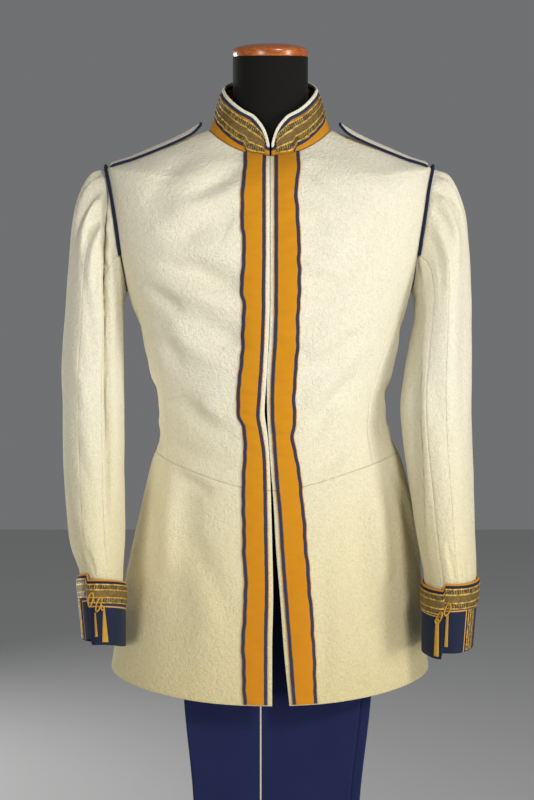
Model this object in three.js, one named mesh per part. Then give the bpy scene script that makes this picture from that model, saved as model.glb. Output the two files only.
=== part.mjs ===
// A cavalry tunic of cream kersey with orange and blue front bands, laced collar and cuffs,
// worn on a limbless dress form, with its blue trousers hung folded flat inside the skirt.
// Millimetres, +Z up. The wearer faces -Y, and "left" and "right" are as seen from the front.
import * as THREE from 'three';

// Cloth and seams
const CLOTH = 2.4;
const LACE = 1.2;
const SEAM_GAP = 0.3;
const LAID_ON = 0.6;
const DEGREE = Math.PI / 180;

// Body of the tunic: one row for each level, read on the outside of the cloth.
// z is the level at the side, frontDrop and backRise tilt the ring at centre front and back.
const BODY = [
  { z: 840, left: 217, right: 216, front: 150, back: 146, square: 2.15, frontDrop: 20, backRise: -6 },
  { z: 931, left: 202, right: 206, front: 140, back: 138, square: 2.15, frontDrop: 12, backRise: -3 },
  { z: 1013, left: 186, right: 198, front: 130, back: 129, square: 2.15, frontDrop: 5, backRise: 0 },
  { z: 1068, left: 173, right: 191, front: 123, back: 121, square: 2.15, frontDrop: 2, backRise: 0 },
  { z: 1123, left: 160, right: 178, front: 116, back: 110, square: 2.15, frontDrop: 0, backRise: 0 },
  { z: 1151, left: 150, right: 166, front: 114, back: 103, square: 2.15, frontDrop: 0, backRise: 0 },
  { z: 1178, left: 148, right: 156, front: 113, back: 98, square: 2.2, frontDrop: 0, backRise: 0 },
  { z: 1205, left: 150, right: 156, front: 114, back: 97, square: 2.2, frontDrop: 0, backRise: 0 },
  { z: 1232, left: 157, right: 161, front: 116, back: 99, square: 2.2, frontDrop: 0, backRise: 0 },
  { z: 1286, left: 170, right: 173, front: 121, back: 104, square: 2.25, frontDrop: 0, backRise: 0 },
  { z: 1340, left: 187, right: 185, front: 125, back: 107, square: 2.4, frontDrop: 0, backRise: 0 },
  { z: 1380, left: 197, right: 194.5, front: 125, back: 108, square: 2.6, frontDrop: 0, backRise: 0 },
  { z: 1420, left: 205, right: 202.5, front: 122, back: 108, square: 2.8, frontDrop: 1, backRise: 0 },
  { z: 1460, left: 211, right: 209, front: 116, back: 107, square: 2.8, frontDrop: 3, backRise: 1 },
  { z: 1500, left: 215.5, right: 212.5, front: 104, back: 103, square: 2.7, frontDrop: 8, backRise: 3 },
  { z: 1516, left: 217, right: 214, front: 96.5, back: 99, square: 2.5, frontDrop: 11, backRise: 4 },
  { z: 1528, left: 186, right: 184, front: 88.5, back: 93, square: 2.4, frontDrop: 14, backRise: 6 },
  { z: 1542, left: 151, right: 150, front: 78.5, back: 85, square: 2.25, frontDrop: 19, backRise: 8 },
  { z: 1556, left: 112, right: 111, front: 69, back: 76, square: 2.2, frontDrop: 26, backRise: 10 },
  { z: 1567, left: 81, right: 80, front: 61, back: 67, square: 2.15, frontDrop: 33, backRise: 12 },
];
const HEM_LEVEL = 840;
const NECK_LEVEL = 1567;
const SKIRT_DEPTHS = [0, 0.2, 0.4, 0.6, 0.8, 1];
const BAND_END = 1.2;

// Waist seam: lowest at centre front, level behind the side
const WAIST_SEAM = { centre: 1100, rise: 38 };

// Front edges: x of each free edge by height. They meet above the waist and part below it.
const FRONT_EDGES = [
  { z: 815, left: 2.2, right: 25.4 },
  { z: 889, left: 2.2, right: 17.8 },
  { z: 965, left: 3.5, right: 12.2 },
  { z: 1025, left: 2.4, right: 7.2 },
  { z: 1092, left: 0.6, right: 3.4 },
  { z: 1130, left: -0.8, right: 0.2 },
  { z: 1169, left: -3.6, right: -2.6 },
  { z: 1203, left: -7.7, right: -4.3 },
  { z: 1240, left: -5.6, right: -4.8 },
  { z: 1300, left: -2.2, right: -1.5 },
  { z: 1349, left: -0.9, right: -0.3 },
  { z: 1540, left: -0.9, right: -0.3 },
];

// Front bands: x of the outer and inner border of each band by height
const BANDS = [
  { z: 815, leftOuter: -35.6, leftInner: -3.4, rightInner: 28.6, rightOuter: 61.6 },
  { z: 899, leftOuter: -38.2, leftInner: -3.4, rightInner: 22.4, rightOuter: 58.2 },
  { z: 972, leftOuter: -34.8, leftInner: -2.2, rightInner: 16.4, rightOuter: 53.0 },
  { z: 1025, leftOuter: -36.9, leftInner: -2.8, rightInner: 12.6, rightOuter: 48.6 },
  { z: 1070, leftOuter: -37.5, leftInner: -3.6, rightInner: 9.8, rightOuter: 45.2 },
  { z: 1107, leftOuter: -38.2, leftInner: -4.3, rightInner: 6.1, rightOuter: 41.3 },
  { z: 1145, leftOuter: -35.6, leftInner: -5.6, rightInner: 3.5, rightOuter: 36.1 },
  { z: 1169, leftOuter: -36.3, leftInner: -8.9, rightInner: 1.8, rightOuter: 30.9 },
  { z: 1182, leftOuter: -37.2, leftInner: -11.2, rightInner: 0.6, rightOuter: 32.6 },
  { z: 1197, leftOuter: -43.7, leftInner: -13.4, rightInner: -0.3, rightOuter: 34.8 },
  { z: 1219, leftOuter: -45.0, leftInner: -12.1, rightInner: -0.5, rightOuter: 32.8 },
  { z: 1258, leftOuter: -41.1, leftInner: -9.5, rightInner: 0.9, rightOuter: 35.5 },
  { z: 1300, leftOuter: -38.0, leftInner: -7.4, rightInner: 3.4, rightOuter: 38.0 },
  { z: 1346, leftOuter: -37.0, leftInner: -6.2, rightInner: 4.5, rightOuter: 38.5 },
  { z: 1357, leftOuter: -39.6, leftInner: -6.2, rightInner: 4.5, rightOuter: 39.5 },
  { z: 1386, leftOuter: -38.4, leftInner: -6.0, rightInner: 4.5, rightOuter: 40.3 },
  { z: 1402, leftOuter: -37.5, leftInner: -5.6, rightInner: 4.5, rightOuter: 38.9 },
  { z: 1431, leftOuter: -36.4, leftInner: -5.5, rightInner: 4.5, rightOuter: 39.5 },
  { z: 1444, leftOuter: -39.6, leftInner: -5.5, rightInner: 4.5, rightOuter: 38.3 },
  { z: 1487, leftOuter: -38.6, leftInner: -5.5, rightInner: 4.5, rightOuter: 35.8 },
  { z: 1510, leftOuter: -36.7, leftInner: -5.6, rightInner: 4.6, rightOuter: 38.5 },
  { z: 1540, leftOuter: -34.6, leftInner: -4.6, rightInner: 4.6, rightOuter: 38.8 },
];

// Large soft folds of the body: centre of each in x and z on the front (front: 1) or the
// back (front: -1), its half length up and down, half width across, lean and height.
const FOLDS = [
  { front: 1, x: -112, z: 1000, length: 110, width: 26, lean: 0.10, height: -4 },
  { front: 1, x: -78, z: 930, length: 90, width: 30, lean: 0.05, height: 3 },
  { front: 1, x: 118, z: 980, length: 110, width: 26, lean: -0.14, height: -4 },
  { front: 1, x: 160, z: 1040, length: 80, width: 20, lean: -0.25, height: 3 },
  { front: 1, x: -92, z: 1395, length: 95, width: 24, lean: -0.75, height: -3 },
  { front: 1, x: 96, z: 1385, length: 95, width: 24, lean: 0.75, height: -3 },
  { front: 1, x: -140, z: 1250, length: 70, width: 22, lean: 0.20, height: 2.5 },
  { front: -1, x: -95, z: 960, length: 120, width: 30, lean: 0.06, height: 4 },
  { front: -1, x: 100, z: 960, length: 120, width: 30, lean: -0.06, height: 4 },
  { front: -1, x: -60, z: 1250, length: 90, width: 26, lean: -0.30, height: -3 },
  { front: -1, x: 66, z: 1240, length: 90, width: 26, lean: 0.30, height: -3 },
];

// Seams between the front, the side body and the back, as angles from centre front
const SIDE_SEAMS = [
  { rise: 0, leftFront: 69, rightFront: 60, back: 141 },
  { rise: 0.35, leftFront: 71, rightFront: 63, back: 136 },
  { rise: 0.7, leftFront: 75, rightFront: 71, back: 119 },
  { rise: 1, leftFront: 0, rightFront: 0, back: 0 },
];

// Armhole: an upright oval. Angle 0 is the armpit and 180 the shoulder point.
const ARMHOLE = { bottom: 1353, top: 1516, halfDepth: 48 };
const ARMHOLE_STATIONS = [0, 15, 30, 45, 58, 67.5, 77, 90, 105, 120, 135, 150, 165, 180];
const SEAM_STATION = 45;
const SLEEVE_SEAM = 67.5;
const FINE_STEP = 7.5;

// Sleeves: rings from the armhole to the wrist. Each runs from its outer point over the
// front and back to its inner point; halfDepth and y place it fore and aft.
const LEFT_SLEEVE = [
  { outerX: -217.5, outerZ: 1516, innerX: -190.5, innerZ: 1353, halfDepth: 48, y: 0 },
  { outerX: -235, outerZ: 1507, innerX: -193, innerZ: 1347, halfDepth: 57, y: -3 },
  { outerX: -253, outerZ: 1480, innerX: -195.5, innerZ: 1338, halfDepth: 65, y: -6 },
  { outerX: -263, outerZ: 1445, innerX: -197, innerZ: 1318, halfDepth: 70, y: -10 },
  { outerX: -268, outerZ: 1395, innerX: -197, innerZ: 1290, halfDepth: 70, y: -16 },
  { outerX: -273, outerZ: 1325, innerX: -196, innerZ: 1246, halfDepth: 70, y: -26 },
  { outerX: -277, outerZ: 1250, innerX: -195, innerZ: 1196, halfDepth: 69, y: -39 },
  { outerX: -275.5, outerZ: 1168, innerX: -194, innerZ: 1140, halfDepth: 67, y: -55 },
  { outerX: -272, outerZ: 1090, innerX: -193, innerZ: 1083, halfDepth: 64, y: -71 },
  { outerX: -264, outerZ: 1022, innerX: -192.5, innerZ: 1026, halfDepth: 60, y: -85 },
  { outerX: -251.8, outerZ: 986, innerX: -194.6, innerZ: 986, halfDepth: 53.6, y: -94.6 },
  { outerX: -250, outerZ: 966, innerX: -195.6, innerZ: 966, halfDepth: 51.6, y: -95.2 },
];
const RIGHT_SLEEVE = [
  { outerX: 214.5, outerZ: 1516, innerX: 188.5, innerZ: 1353, halfDepth: 48, y: 0 },
  { outerX: 235, outerZ: 1505, innerX: 191, innerZ: 1347, halfDepth: 57, y: -3 },
  { outerX: 251, outerZ: 1478, innerX: 193, innerZ: 1338, halfDepth: 65, y: -6 },
  { outerX: 261, outerZ: 1445, innerX: 193, innerZ: 1318, halfDepth: 71, y: -10 },
  { outerX: 265, outerZ: 1395, innerX: 188, innerZ: 1288, halfDepth: 72, y: -15 },
  { outerX: 267, outerZ: 1325, innerX: 180, innerZ: 1244, halfDepth: 72, y: -24 },
  { outerX: 267, outerZ: 1250, innerX: 175, innerZ: 1200, halfDepth: 70, y: -36 },
  { outerX: 268, outerZ: 1168, innerX: 179, innerZ: 1144, halfDepth: 67, y: -53 },
  { outerX: 269.5, outerZ: 1090, innerX: 187, innerZ: 1086, halfDepth: 64, y: -70 },
  { outerX: 271, outerZ: 1022, innerX: 195, innerZ: 1026, halfDepth: 60, y: -85 },
  { outerX: 271.6, outerZ: 986, innerX: 202.8, innerZ: 986, halfDepth: 54.4, y: -94.6 },
  { outerX: 270, outerZ: 966, innerX: 204, innerZ: 966, halfDepth: 52.4, y: -95.2 },
];
// The wrist end of each sleeve and its cuff lean with the bent forearm: rise of their front
// for each millimetre of depth
const WRIST_TILT = { left: 0.25, right: 0 };
const TILT_FIRST_ROW = 6.5;
const TILT_FULL_ROW = 10;
const PLEATS = { from: 72, pitch: 27, height: 4.6, fullRow: 1.3, endRow: 4.2 };
const GROOVE = { angle: 67.5, width: 10, leftDepth: 8, rightDepth: 11, firstRow: 1.6, fullRow: 3.5 };

// Cuffs: upper and lower ring of each, and the step where the cuff is folded over itself
const CUFFS = {
  left: {
    outerX: [-255.2, -247.5], innerX: [-191.2, -191.6], z: [978, 892],
    halfDepth: [57, 53], y: [-95, -97], stepAngle: 118, stepDrop: 8, downAngle: 158,
  },
  right: {
    outerX: [275.4, 267.5], innerX: [199.6, 200.2], z: [978, 886],
    halfDepth: [58, 54], y: [-95, -97], stepAngle: 72, stepDrop: 8, downAngle: 134,
  },
};
const CUFF_STEP_HALF_WIDTH = 2.5;
const CUFF_OVERLAP = 1.6;
const CUFF_LACE = { top: 0.06, bottom: 0.36 };
const CUFF_DOWN_LACE = { halfAngle: 9, bottom: 0.97 };
const CUFF_STATIONS = [0, 20, 40, 58, 67.5, 78, 95, 112, 130, 149, 158, 167, 180];

// Cord loops and flat tails below the cuff lace, by angle and by share of the cuff height
const CUFF_TAILS = [
  { side: 'left', name: 'a', angle: 80, top: 0.42, foot: 0.95, narrow: 3, wide: 12 },
  { side: 'left', name: 'b', angle: 101, top: 0.5, foot: 0.87, narrow: 2.5, wide: 5 },
  { side: 'right', name: 'a', angle: 60, top: 0.42, foot: 0.96, narrow: 5.5, wide: 9 },
  { side: 'right', name: 'b', angle: 80, top: 0.42, foot: 0.9, narrow: 4, wide: 6 },
];
const TAIL_LIFT = 0.4;

// Collar: a stand that leans in from the neckline, with its front corners rounded off
const COLLAR = { half: 63, front: 52, back: 56, frontTop: 1599, sideTop: 1621, backTop: 1642, bulge: -1.5 };
const COLLAR_BACK_POWER = 1.1;
const COLLAR_CORNER = [
  { angle: 0, share: 0.1 },
  { angle: 1.5, share: 0.24 },
  { angle: 4, share: 0.39 },
  { angle: 8, share: 0.53 },
  { angle: 13.5, share: 0.64 },
  { angle: 26, share: 0.765 },
  { angle: 40, share: 0.79 },
  { angle: 55, share: 0.84 },
  { angle: 72, share: 0.91 },
  { angle: 88, share: 1 },
  { angle: 180, share: 1 },
];
const COLLAR_ANGLES = [1.2, 4, 8, 13.5, 20, 28, 38, 52, 68, 86, 104, 122, 141, 160, 180];
const COLLAR_LACE = { belowEdge: 0.17, height: 0.45, foot: 0.03, turnDown: 30, firstAngle: 7.5 };

// Shoulder straps: strips from the shoulder point towards the collar, with raised tips
const STRAP = {
  fromPoint: 6, inner: 92, outerHalf: 24, innerHalf: 19, tip: 14, tipRise: 10, lift: 0.7, thickness: 3.2, back: -8,
};

const PIPING_RADIUS = 2;
const PIPING_LIFT = 2.8;
const PIPING_ALONG = 0.85;
const PIPING_OUT = 0.6;

// Trousers: flat folded, side view. Left and right creases of the near leg by height.
const TROUSERS = [
  { z: 75, left: -96, right: 95 },
  { z: 300, left: -96, right: 94 },
  { z: 500, left: -97, right: 97 },
  { z: 678, left: -103, right: 106 },
  { z: 815, left: -115, right: 120 },
  { z: 930, left: -120, right: 126 },
  { z: 1020, left: -112, right: 119 },
  { z: 1068, left: -99, right: 105 },
];
const TROUSER_CLOTH = 1.6;
const LEG_THICKNESS = 6.6;
const LEG_SEAM = -13;
const NEAR_LEG_Y = -91;
const FAR_LEG_SHIFT = 14;
const WAISTBAND = { top: 1106, left: -93, right: 103, layers: 4 };
const SIDE_PIPING_WIDTH = 2.2;

// Dress form: rings of the torso and neck, then its wooden cap, pole and foot
const FORM = [
  { z: 958, half: 96, front: 62, back: 66, shift: 4 },
  { z: 964, half: 122, front: 76, back: 84, shift: 4 },
  { z: 1000, half: 134, front: 79, back: 98, shift: 0 },
  { z: 1060, half: 138, front: 79.9, back: 101, shift: 0 },
  { z: 1110, half: 135, front: 79.9, back: 96, shift: 0 },
  { z: 1185, half: 128, front: 90, back: 85, shift: 0 },
  { z: 1270, half: 142, front: 104, back: 92, shift: 0 },
  { z: 1360, half: 158, front: 114, back: 98, shift: 0 },
  { z: 1430, half: 168, front: 110, back: 99, shift: 0 },
  { z: 1478, half: 180, front: 97, back: 95, shift: 0 },
  { z: 1503, half: 187, front: 80, back: 88, shift: 0 },
  { z: 1514, half: 176, front: 72, back: 80, shift: 0 },
  { z: 1526, half: 152, front: 62, back: 70, shift: 1 },
  { z: 1541, half: 114, front: 55, back: 62, shift: 2 },
  { z: 1554, half: 78, front: 49, back: 55, shift: 3 },
  { z: 1568, half: 56, front: 46, back: 50, shift: 4 },
  { z: 1590, half: 50, front: 47, back: 49, shift: 4 },
  { z: 1663, half: 50, front: 48, back: 48, shift: 4 },
];
const CAP = { radius: 50, bottom: 1663.3, height: 18 };
const POLE_RADIUS = 14;
const FOOT = { radius: 160, height: 20 };

// Colours from the photograph
const CREAM = 0xd9d3b8;
const ORANGE = 0xc9821f;
const NAVY = 0x1f2c56;
const GOLD = 0x8f7434;
const YELLOW = 0xc09a3a;
const PALE = 0xcfc7a8;
const BLACK = 0x101012;
const WOOD = 0x8c451e;

const model = new THREE.Group();

function addPiece(name, geometry, colour, roughness = 0.9) {
  geometry.computeVertexNormals();
  const material = new THREE.MeshStandardMaterial({ color: colour, roughness, metalness: 0 });
  const piece = new THREE.Mesh(geometry, material);
  piece.name = name;
  model.add(piece);
}

// Smooth reading of one column of a table between its rows, with no overshoot
function readTable(rows, key, column, at) {
  const last = rows.length - 1;
  const rising = rows[last][key] > rows[0][key];
  const place = (i) => (rising ? rows[i][key] : -rows[i][key]);
  const x = Math.min(Math.max(rising ? at : -at, place(0)), place(last));
  let i = 0;
  while (i < last - 1 && x > place(i + 1)) i += 1;
  const slope = (k) => (rows[k + 1][column] - rows[k][column]) / (place(k + 1) - place(k));
  const tangent = (k) => {
    if (k === 0) return slope(0);
    if (k === last) return slope(last - 1);
    const before = slope(k - 1);
    const after = slope(k);
    return before * after <= 0 ? 0 : (2 * before * after) / (before + after);
  };
  const span = place(i + 1) - place(i);
  const t = (x - place(i)) / span;
  const t2 = t * t;
  const t3 = t2 * t;
  return (
    (2 * t3 - 3 * t2 + 1) * rows[i][column] +
    (t3 - 2 * t2 + t) * span * tangent(i) +
    (3 * t2 - 2 * t3) * rows[i + 1][column] +
    (t3 - t2) * span * tangent(i + 1)
  );
}

const smoothStep = (from, to, x) => THREE.MathUtils.smoothstep(x, from, to);
const mix = (a, b, t) => a + (b - a) * t;

// Closed solid between an outer and an inner grid of points; wrapped grids close into tubes
function gridSolid(outer, inner, columns, rows, wrapped = false) {
  const across = wrapped ? columns : columns + 1;
  const positions = [];
  for (const skin of [outer, inner]) {
    for (let j = 0; j <= rows; j += 1) {
      for (let i = 0; i < across; i += 1) positions.push(...skin(i, j).toArray());
    }
  }
  const index = (skin, i, j) => skin * across * (rows + 1) + j * across + (wrapped ? i % across : i);
  const triangles = [];
  const quad = (a, b, c, d) => triangles.push(a, b, c, a, c, d);
  for (let j = 0; j < rows; j += 1) {
    for (let i = 0; i < columns; i += 1) {
      quad(index(0, i, j), index(0, i + 1, j), index(0, i + 1, j + 1), index(0, i, j + 1));
      quad(index(1, i, j), index(1, i, j + 1), index(1, i + 1, j + 1), index(1, i + 1, j));
    }
  }
  for (let i = 0; i < columns; i += 1) {
    quad(index(0, i + 1, 0), index(0, i, 0), index(1, i, 0), index(1, i + 1, 0));
    quad(index(0, i, rows), index(0, i + 1, rows), index(1, i + 1, rows), index(1, i, rows));
  }
  if (!wrapped) {
    for (let j = 0; j < rows; j += 1) {
      quad(index(0, 0, j), index(0, 0, j + 1), index(1, 0, j + 1), index(1, 0, j));
      quad(index(0, columns, j + 1), index(0, columns, j), index(1, columns, j), index(1, columns, j + 1));
    }
  }
  return closedGeometry(positions, triangles);
}

// Geometry from shared points, turned so that its faces point out
function closedGeometry(positions, triangles) {
  const corner = (k) => new THREE.Vector3().fromArray(positions, triangles[k] * 3);
  let volume = 0;
  for (let k = 0; k < triangles.length; k += 3) {
    volume += corner(k).dot(corner(k + 1).cross(corner(k + 2)));
  }
  const facing = volume >= 0 ? triangles : triangles.slice().reverse();
  const geometry = new THREE.BufferGeometry();
  geometry.setAttribute('position', new THREE.Float32BufferAttribute(positions, 3));
  geometry.setIndex(facing);
  return geometry;
}

// Wall of cloth on a surface: surface(u, v) gives a point, outward says which way is out
function wall(surface, outward, columnsAt, rowsAt, thickness, lift = 0, wrapped = false) {
  const columns = wrapped ? columnsAt.length : columnsAt.length - 1;
  const rows = rowsAt.length - 1;
  const reach = (distance) => (i, j) => {
    const u = columnsAt[i];
    const v = rowsAt[j];
    return surface(u, v).addScaledVector(outward(u, v), distance);
  };
  return gridSolid(reach(lift + thickness), reach(lift), columns, rows, wrapped);
}

// Body surface of the tunic
const bodyColumn = (column, z) => readTable(BODY, 'z', column, z);

function bodyRing(side, z) {
  return {
    half: bodyColumn(side < 0 ? 'left' : 'right', z),
    front: bodyColumn('front', z),
    back: bodyColumn('back', z),
    square: bodyColumn('square', z),
  };
}

// Angle from centre front of the point of a ring at a given x (front) or y (side)
function angleAtX(side, x, z) {
  const ring = bodyRing(side, z);
  const across = side * x;
  const deep = ring.front * (1 - (Math.abs(across) / ring.half) ** ring.square) ** (1 / ring.square);
  return Math.atan2(across, deep);
}

function angleAtY(side, y, z) {
  const ring = bodyRing(side, z);
  const depth = y < 0 ? ring.front : ring.back;
  const across = ring.half * (1 - (Math.abs(y) / depth) ** ring.square) ** (1 / ring.square);
  return Math.atan2(across, -y);
}

function plainBodyPoint(side, angle, z) {
  const ring = bodyRing(side, z);
  const across = Math.sin(angle);
  const ahead = Math.cos(angle);
  const depth = ahead > 0 ? ring.front : ring.back;
  const size =
    (Math.abs(across) / ring.half) ** ring.square + (Math.abs(ahead) / depth) ** ring.square;
  const radius = size ** (-1 / ring.square);
  const y = -radius * ahead;
  const tilt = y < 0 ? -bodyColumn('frontDrop', z) : bodyColumn('backRise', z);
  return new THREE.Vector3(side * radius * across, y, z + tilt * (y / depth) ** 2);
}

function plainBodyNormal(side, angle, z) {
  const turn = 0.004;
  const lift = 0.5;
  const around = plainBodyPoint(side, angle + turn, z).sub(plainBodyPoint(side, angle - turn, z));
  const up = plainBodyPoint(side, angle, z + lift).sub(plainBodyPoint(side, angle, z - lift));
  return around.cross(up).multiplyScalar(side).normalize();
}

function foldHeight(point) {
  let height = 0;
  for (const fold of FOLDS) {
    if (fold.front * point.y >= 0) continue;
    const along = (point.z - fold.z) / fold.length;
    const across = (point.x - fold.x - fold.lean * (point.z - fold.z)) / fold.width;
    height += fold.height * Math.exp(-along * along - across * across);
  }
  return height;
}

function bodyPoint(side, angle, z) {
  const point = plainBodyPoint(side, angle, z);
  const calm = 1 - smoothStep(1340, 1420, z) * smoothStep(120, 175, Math.abs(point.x));
  return point.addScaledVector(plainBodyNormal(side, angle, z), foldHeight(point) * calm);
}

const waistSeamZ = (angle) =>
  WAIST_SEAM.centre + WAIST_SEAM.rise * (angle > Math.PI / 2 ? 1 : Math.sin(angle) ** 2);

function frontEdgeAngle(side, z) {
  const height = z - bodyColumn('frontDrop', z);
  const x = readTable(FRONT_EDGES, 'z', side < 0 ? 'left' : 'right', height);
  return angleAtX(side, x, z);
}

// Armhole on the body: theta in degrees, 0 at the armpit, 180 at the shoulder, below 0 behind
function armholeLevel(theta) {
  return mix(ARMHOLE.bottom, ARMHOLE.top, (1 - Math.cos(theta * DEGREE)) / 2);
}

function armholeAngle(side, theta) {
  const y = -ARMHOLE.halfDepth * Math.sin(theta * DEGREE);
  return angleAtY(side, y, armholeLevel(theta));
}

const seamTop = armholeLevel(SEAM_STATION);

function sideSeamAngle(side, rise, front) {
  const column = front ? (side < 0 ? 'leftFront' : 'rightFront') : 'back';
  const end = armholeAngle(side, front ? SEAM_STATION : -SEAM_STATION) / DEGREE;
  const rows = SIDE_SEAMS.map((row) => ({ rise: row.rise, angle: row.rise === 1 ? end : row[column] }));
  return readTable(rows, 'rise', 'angle', rise) * DEGREE;
}

// Rows of the front and back panels: shares of the height up to the armhole, then the
// armhole stations, then the levels of the shoulder slope up to the neckline
const lowerRows = [0, 0.14, 0.3, 0.48, 0.66, 0.83].map((rise) => ({ rise }));
const armholeRows = ARMHOLE_STATIONS.filter((theta) => theta >= SEAM_STATION).map((theta) => ({ theta }));
const slopeRows = [1524, 1533, 1542, 1551, 1560, NECK_LEVEL].map((level) => ({ level }));
const panelRows = [...lowerRows, ...armholeRows, ...slopeRows];

function setBack(angle, point, distance) {
  return angle + distance / Math.hypot(point.x, point.y);
}

// One point of a front panel: share runs from the front edge to the side seam or armhole
function panelPlace(side, front, share, row) {
  const nearEdge = (z) => (front ? frontEdgeAngle(side, z) : Math.PI);
  let farAngle;
  let level = null;
  if (row.rise !== undefined) farAngle = sideSeamAngle(side, row.rise, front);
  else if (row.theta !== undefined) {
    level = armholeLevel(row.theta);
    farAngle = armholeAngle(side, front ? row.theta : -row.theta);
  } else {
    level = row.level;
    farAngle = Math.PI / 2;
  }
  const gap = SEAM_GAP / 2;
  const toward = front ? -1 : 1;
  farAngle = setBack(farAngle, plainBodyPoint(side, farAngle, level ?? seamTop), toward * gap);
  const edgeLevel = level ?? mix(waistSeamZ(front ? 0 : Math.PI), seamTop, row.rise);
  let nearAngle = nearEdge(edgeLevel);
  if (!front) nearAngle = setBack(nearAngle, plainBodyPoint(side, nearAngle, edgeLevel), -gap);
  const angle = mix(nearAngle, farAngle, share);
  if (level !== null) return { angle, z: level };
  const seam = waistSeamZ(angle) + gap;
  return { angle, z: mix(seam, seamTop, row.rise) };
}

function addBodyPanel(name, side, front, columns) {
  const shares = Array.from({ length: columns + 1 }, (_, i) => i / columns);
  const surface = (share, row) => {
    const place = panelPlace(side, front, share, row);
    return bodyPoint(side, place.angle, place.z);
  };
  const outward = (share, row) => {
    const place = panelPlace(side, front, share, row);
    return plainBodyNormal(side, place.angle, place.z);
  };
  addPiece(name, wall(surface, outward, shares, panelRows, CLOTH, -CLOTH), CREAM);
}

// Side body: between the two side seams, hollowed at the top by the armhole
const sideStations = [-45, -30, -15, 0, 15, 30, 45];

function sidePlace(side, theta, row) {
  const rise = row.rise ?? 1;
  const gap = SEAM_GAP / 2;
  const middle = plainBodyPoint(side, Math.PI / 2, seamTop);
  const share = (SEAM_STATION - theta) / (2 * SEAM_STATION);
  const even = (at) => {
    const frontAngle = setBack(sideSeamAngle(side, at, true), middle, gap);
    return mix(frontAngle, setBack(sideSeamAngle(side, at, false), middle, -gap), share);
  };
  const hollow = setBack(armholeAngle(side, theta), middle, Math.sign(theta) * gap);
  const angle = even(rise) + (hollow - even(1)) * smoothStep(0.6, 1, rise);
  const seam = waistSeamZ(angle) + gap;
  return { angle, z: mix(seam, armholeLevel(theta), rise) };
}

function addSideBody(name, side) {
  const rows = [...lowerRows, { rise: 1 }];
  const surface = (theta, row) => {
    const place = sidePlace(side, theta, row);
    return bodyPoint(side, place.angle, place.z);
  };
  const outward = (theta, row) => {
    const place = sidePlace(side, theta, row);
    return plainBodyNormal(side, place.angle, place.z);
  };
  const thetas = sideStations.slice().reverse();
  addPiece(name, wall(surface, outward, thetas, rows, CLOTH, -CLOTH), CREAM);
}

// Skirt: columns follow those of the panels above it, from centre front to centre back
function addSkirt(name, side, frontColumns, backColumns) {
  const columns = [];
  const sideColumns = sideStations.length - 1;
  for (let i = 0; i <= frontColumns; i += 1) columns.push({ part: 'front', share: i / frontColumns });
  for (let i = 1; i <= sideColumns; i += 1) columns.push({ part: 'side', share: i / sideColumns });
  for (let i = 1; i <= backColumns; i += 1) columns.push({ part: 'back', share: i / backColumns });
  const frontSeam = sideSeamAngle(side, 0, true);
  const backSeam = sideSeamAngle(side, 0, false);
  const place = (column, depth) => {
    const edgeLevel = mix(waistSeamZ(0), HEM_LEVEL, depth);
    const from = { front: frontEdgeAngle(side, edgeLevel), side: frontSeam, back: backSeam };
    const to = { front: frontSeam, side: backSeam, back: Math.PI - SEAM_GAP / 2 / 130 };
    const angle = mix(from[column.part], to[column.part], column.share);
    return { angle, z: mix(waistSeamZ(angle) - SEAM_GAP / 2, HEM_LEVEL, depth) };
  };
  const surface = (column, depth) => {
    const at = place(column, depth);
    return bodyPoint(side, at.angle, at.z);
  };
  const outward = (column, depth) => {
    const at = place(column, depth);
    return plainBodyNormal(side, at.angle, at.z);
  };
  addPiece(name, wall(surface, outward, columns, SKIRT_DEPTHS, CLOTH, -CLOTH), CREAM);
}

// Levels of the panels' rows at centre front, with one more between each pair low down
function bandLevels() {
  const skirtLevels = [...SKIRT_DEPTHS].reverse().map((depth) => mix(waistSeamZ(0), HEM_LEVEL, depth));
  const chestLevels = lowerRows.slice(1).map((row) => mix(waistSeamZ(0), seamTop, row.rise));
  const low = [...skirtLevels, ...chestLevels, seamTop];
  low[0] += BAND_END;
  const between = low.slice(1).map((level, k) => (level + low[k]) / 2);
  const shoulderLevels = slopeRows.map((row) => row.level);
  const high = [...armholeRows.slice(1).map((row) => armholeLevel(row.theta)), ...shoulderLevels];
  high[high.length - 1] -= BAND_END;
  return [...low, ...between, ...high].sort((a, b) => a - b);
}

// Band sewn down each front edge, over the waist seam
function addFrontBand(name, side) {
  const outerColumn = side < 0 ? 'leftOuter' : 'rightOuter';
  const innerColumn = side < 0 ? 'leftInner' : 'rightInner';
  const levels = bandLevels();
  const place = (share, z) => {
    const height = z - bodyColumn('frontDrop', z);
    const x = mix(
      readTable(BANDS, 'z', innerColumn, height),
      readTable(BANDS, 'z', outerColumn, height),
      share,
    );
    return angleAtX(side, x, z);
  };
  const surface = (share, z) => bodyPoint(side, place(share, z), z);
  const outward = (share, z) => plainBodyNormal(side, place(share, z), z);
  addPiece(name, wall(surface, outward, [0, 0.5, 1], levels, LACE, LAID_ON), ORANGE);
}

// Armhole seam line as a row of straight stitches between the stations
function armholePoint(side, theta) {
  const sign = Math.sign(theta) || 1;
  const size = Math.abs(theta);
  let k = 0;
  while (k < ARMHOLE_STATIONS.length - 2 && size > ARMHOLE_STATIONS[k + 1]) k += 1;
  const from = ARMHOLE_STATIONS[k];
  const to = ARMHOLE_STATIONS[k + 1];
  const at = (station) => bodyPoint(side, armholeAngle(side, sign * station), armholeLevel(station));
  return at(from).lerp(at(to), (size - from) / (to - from));
}

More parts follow.
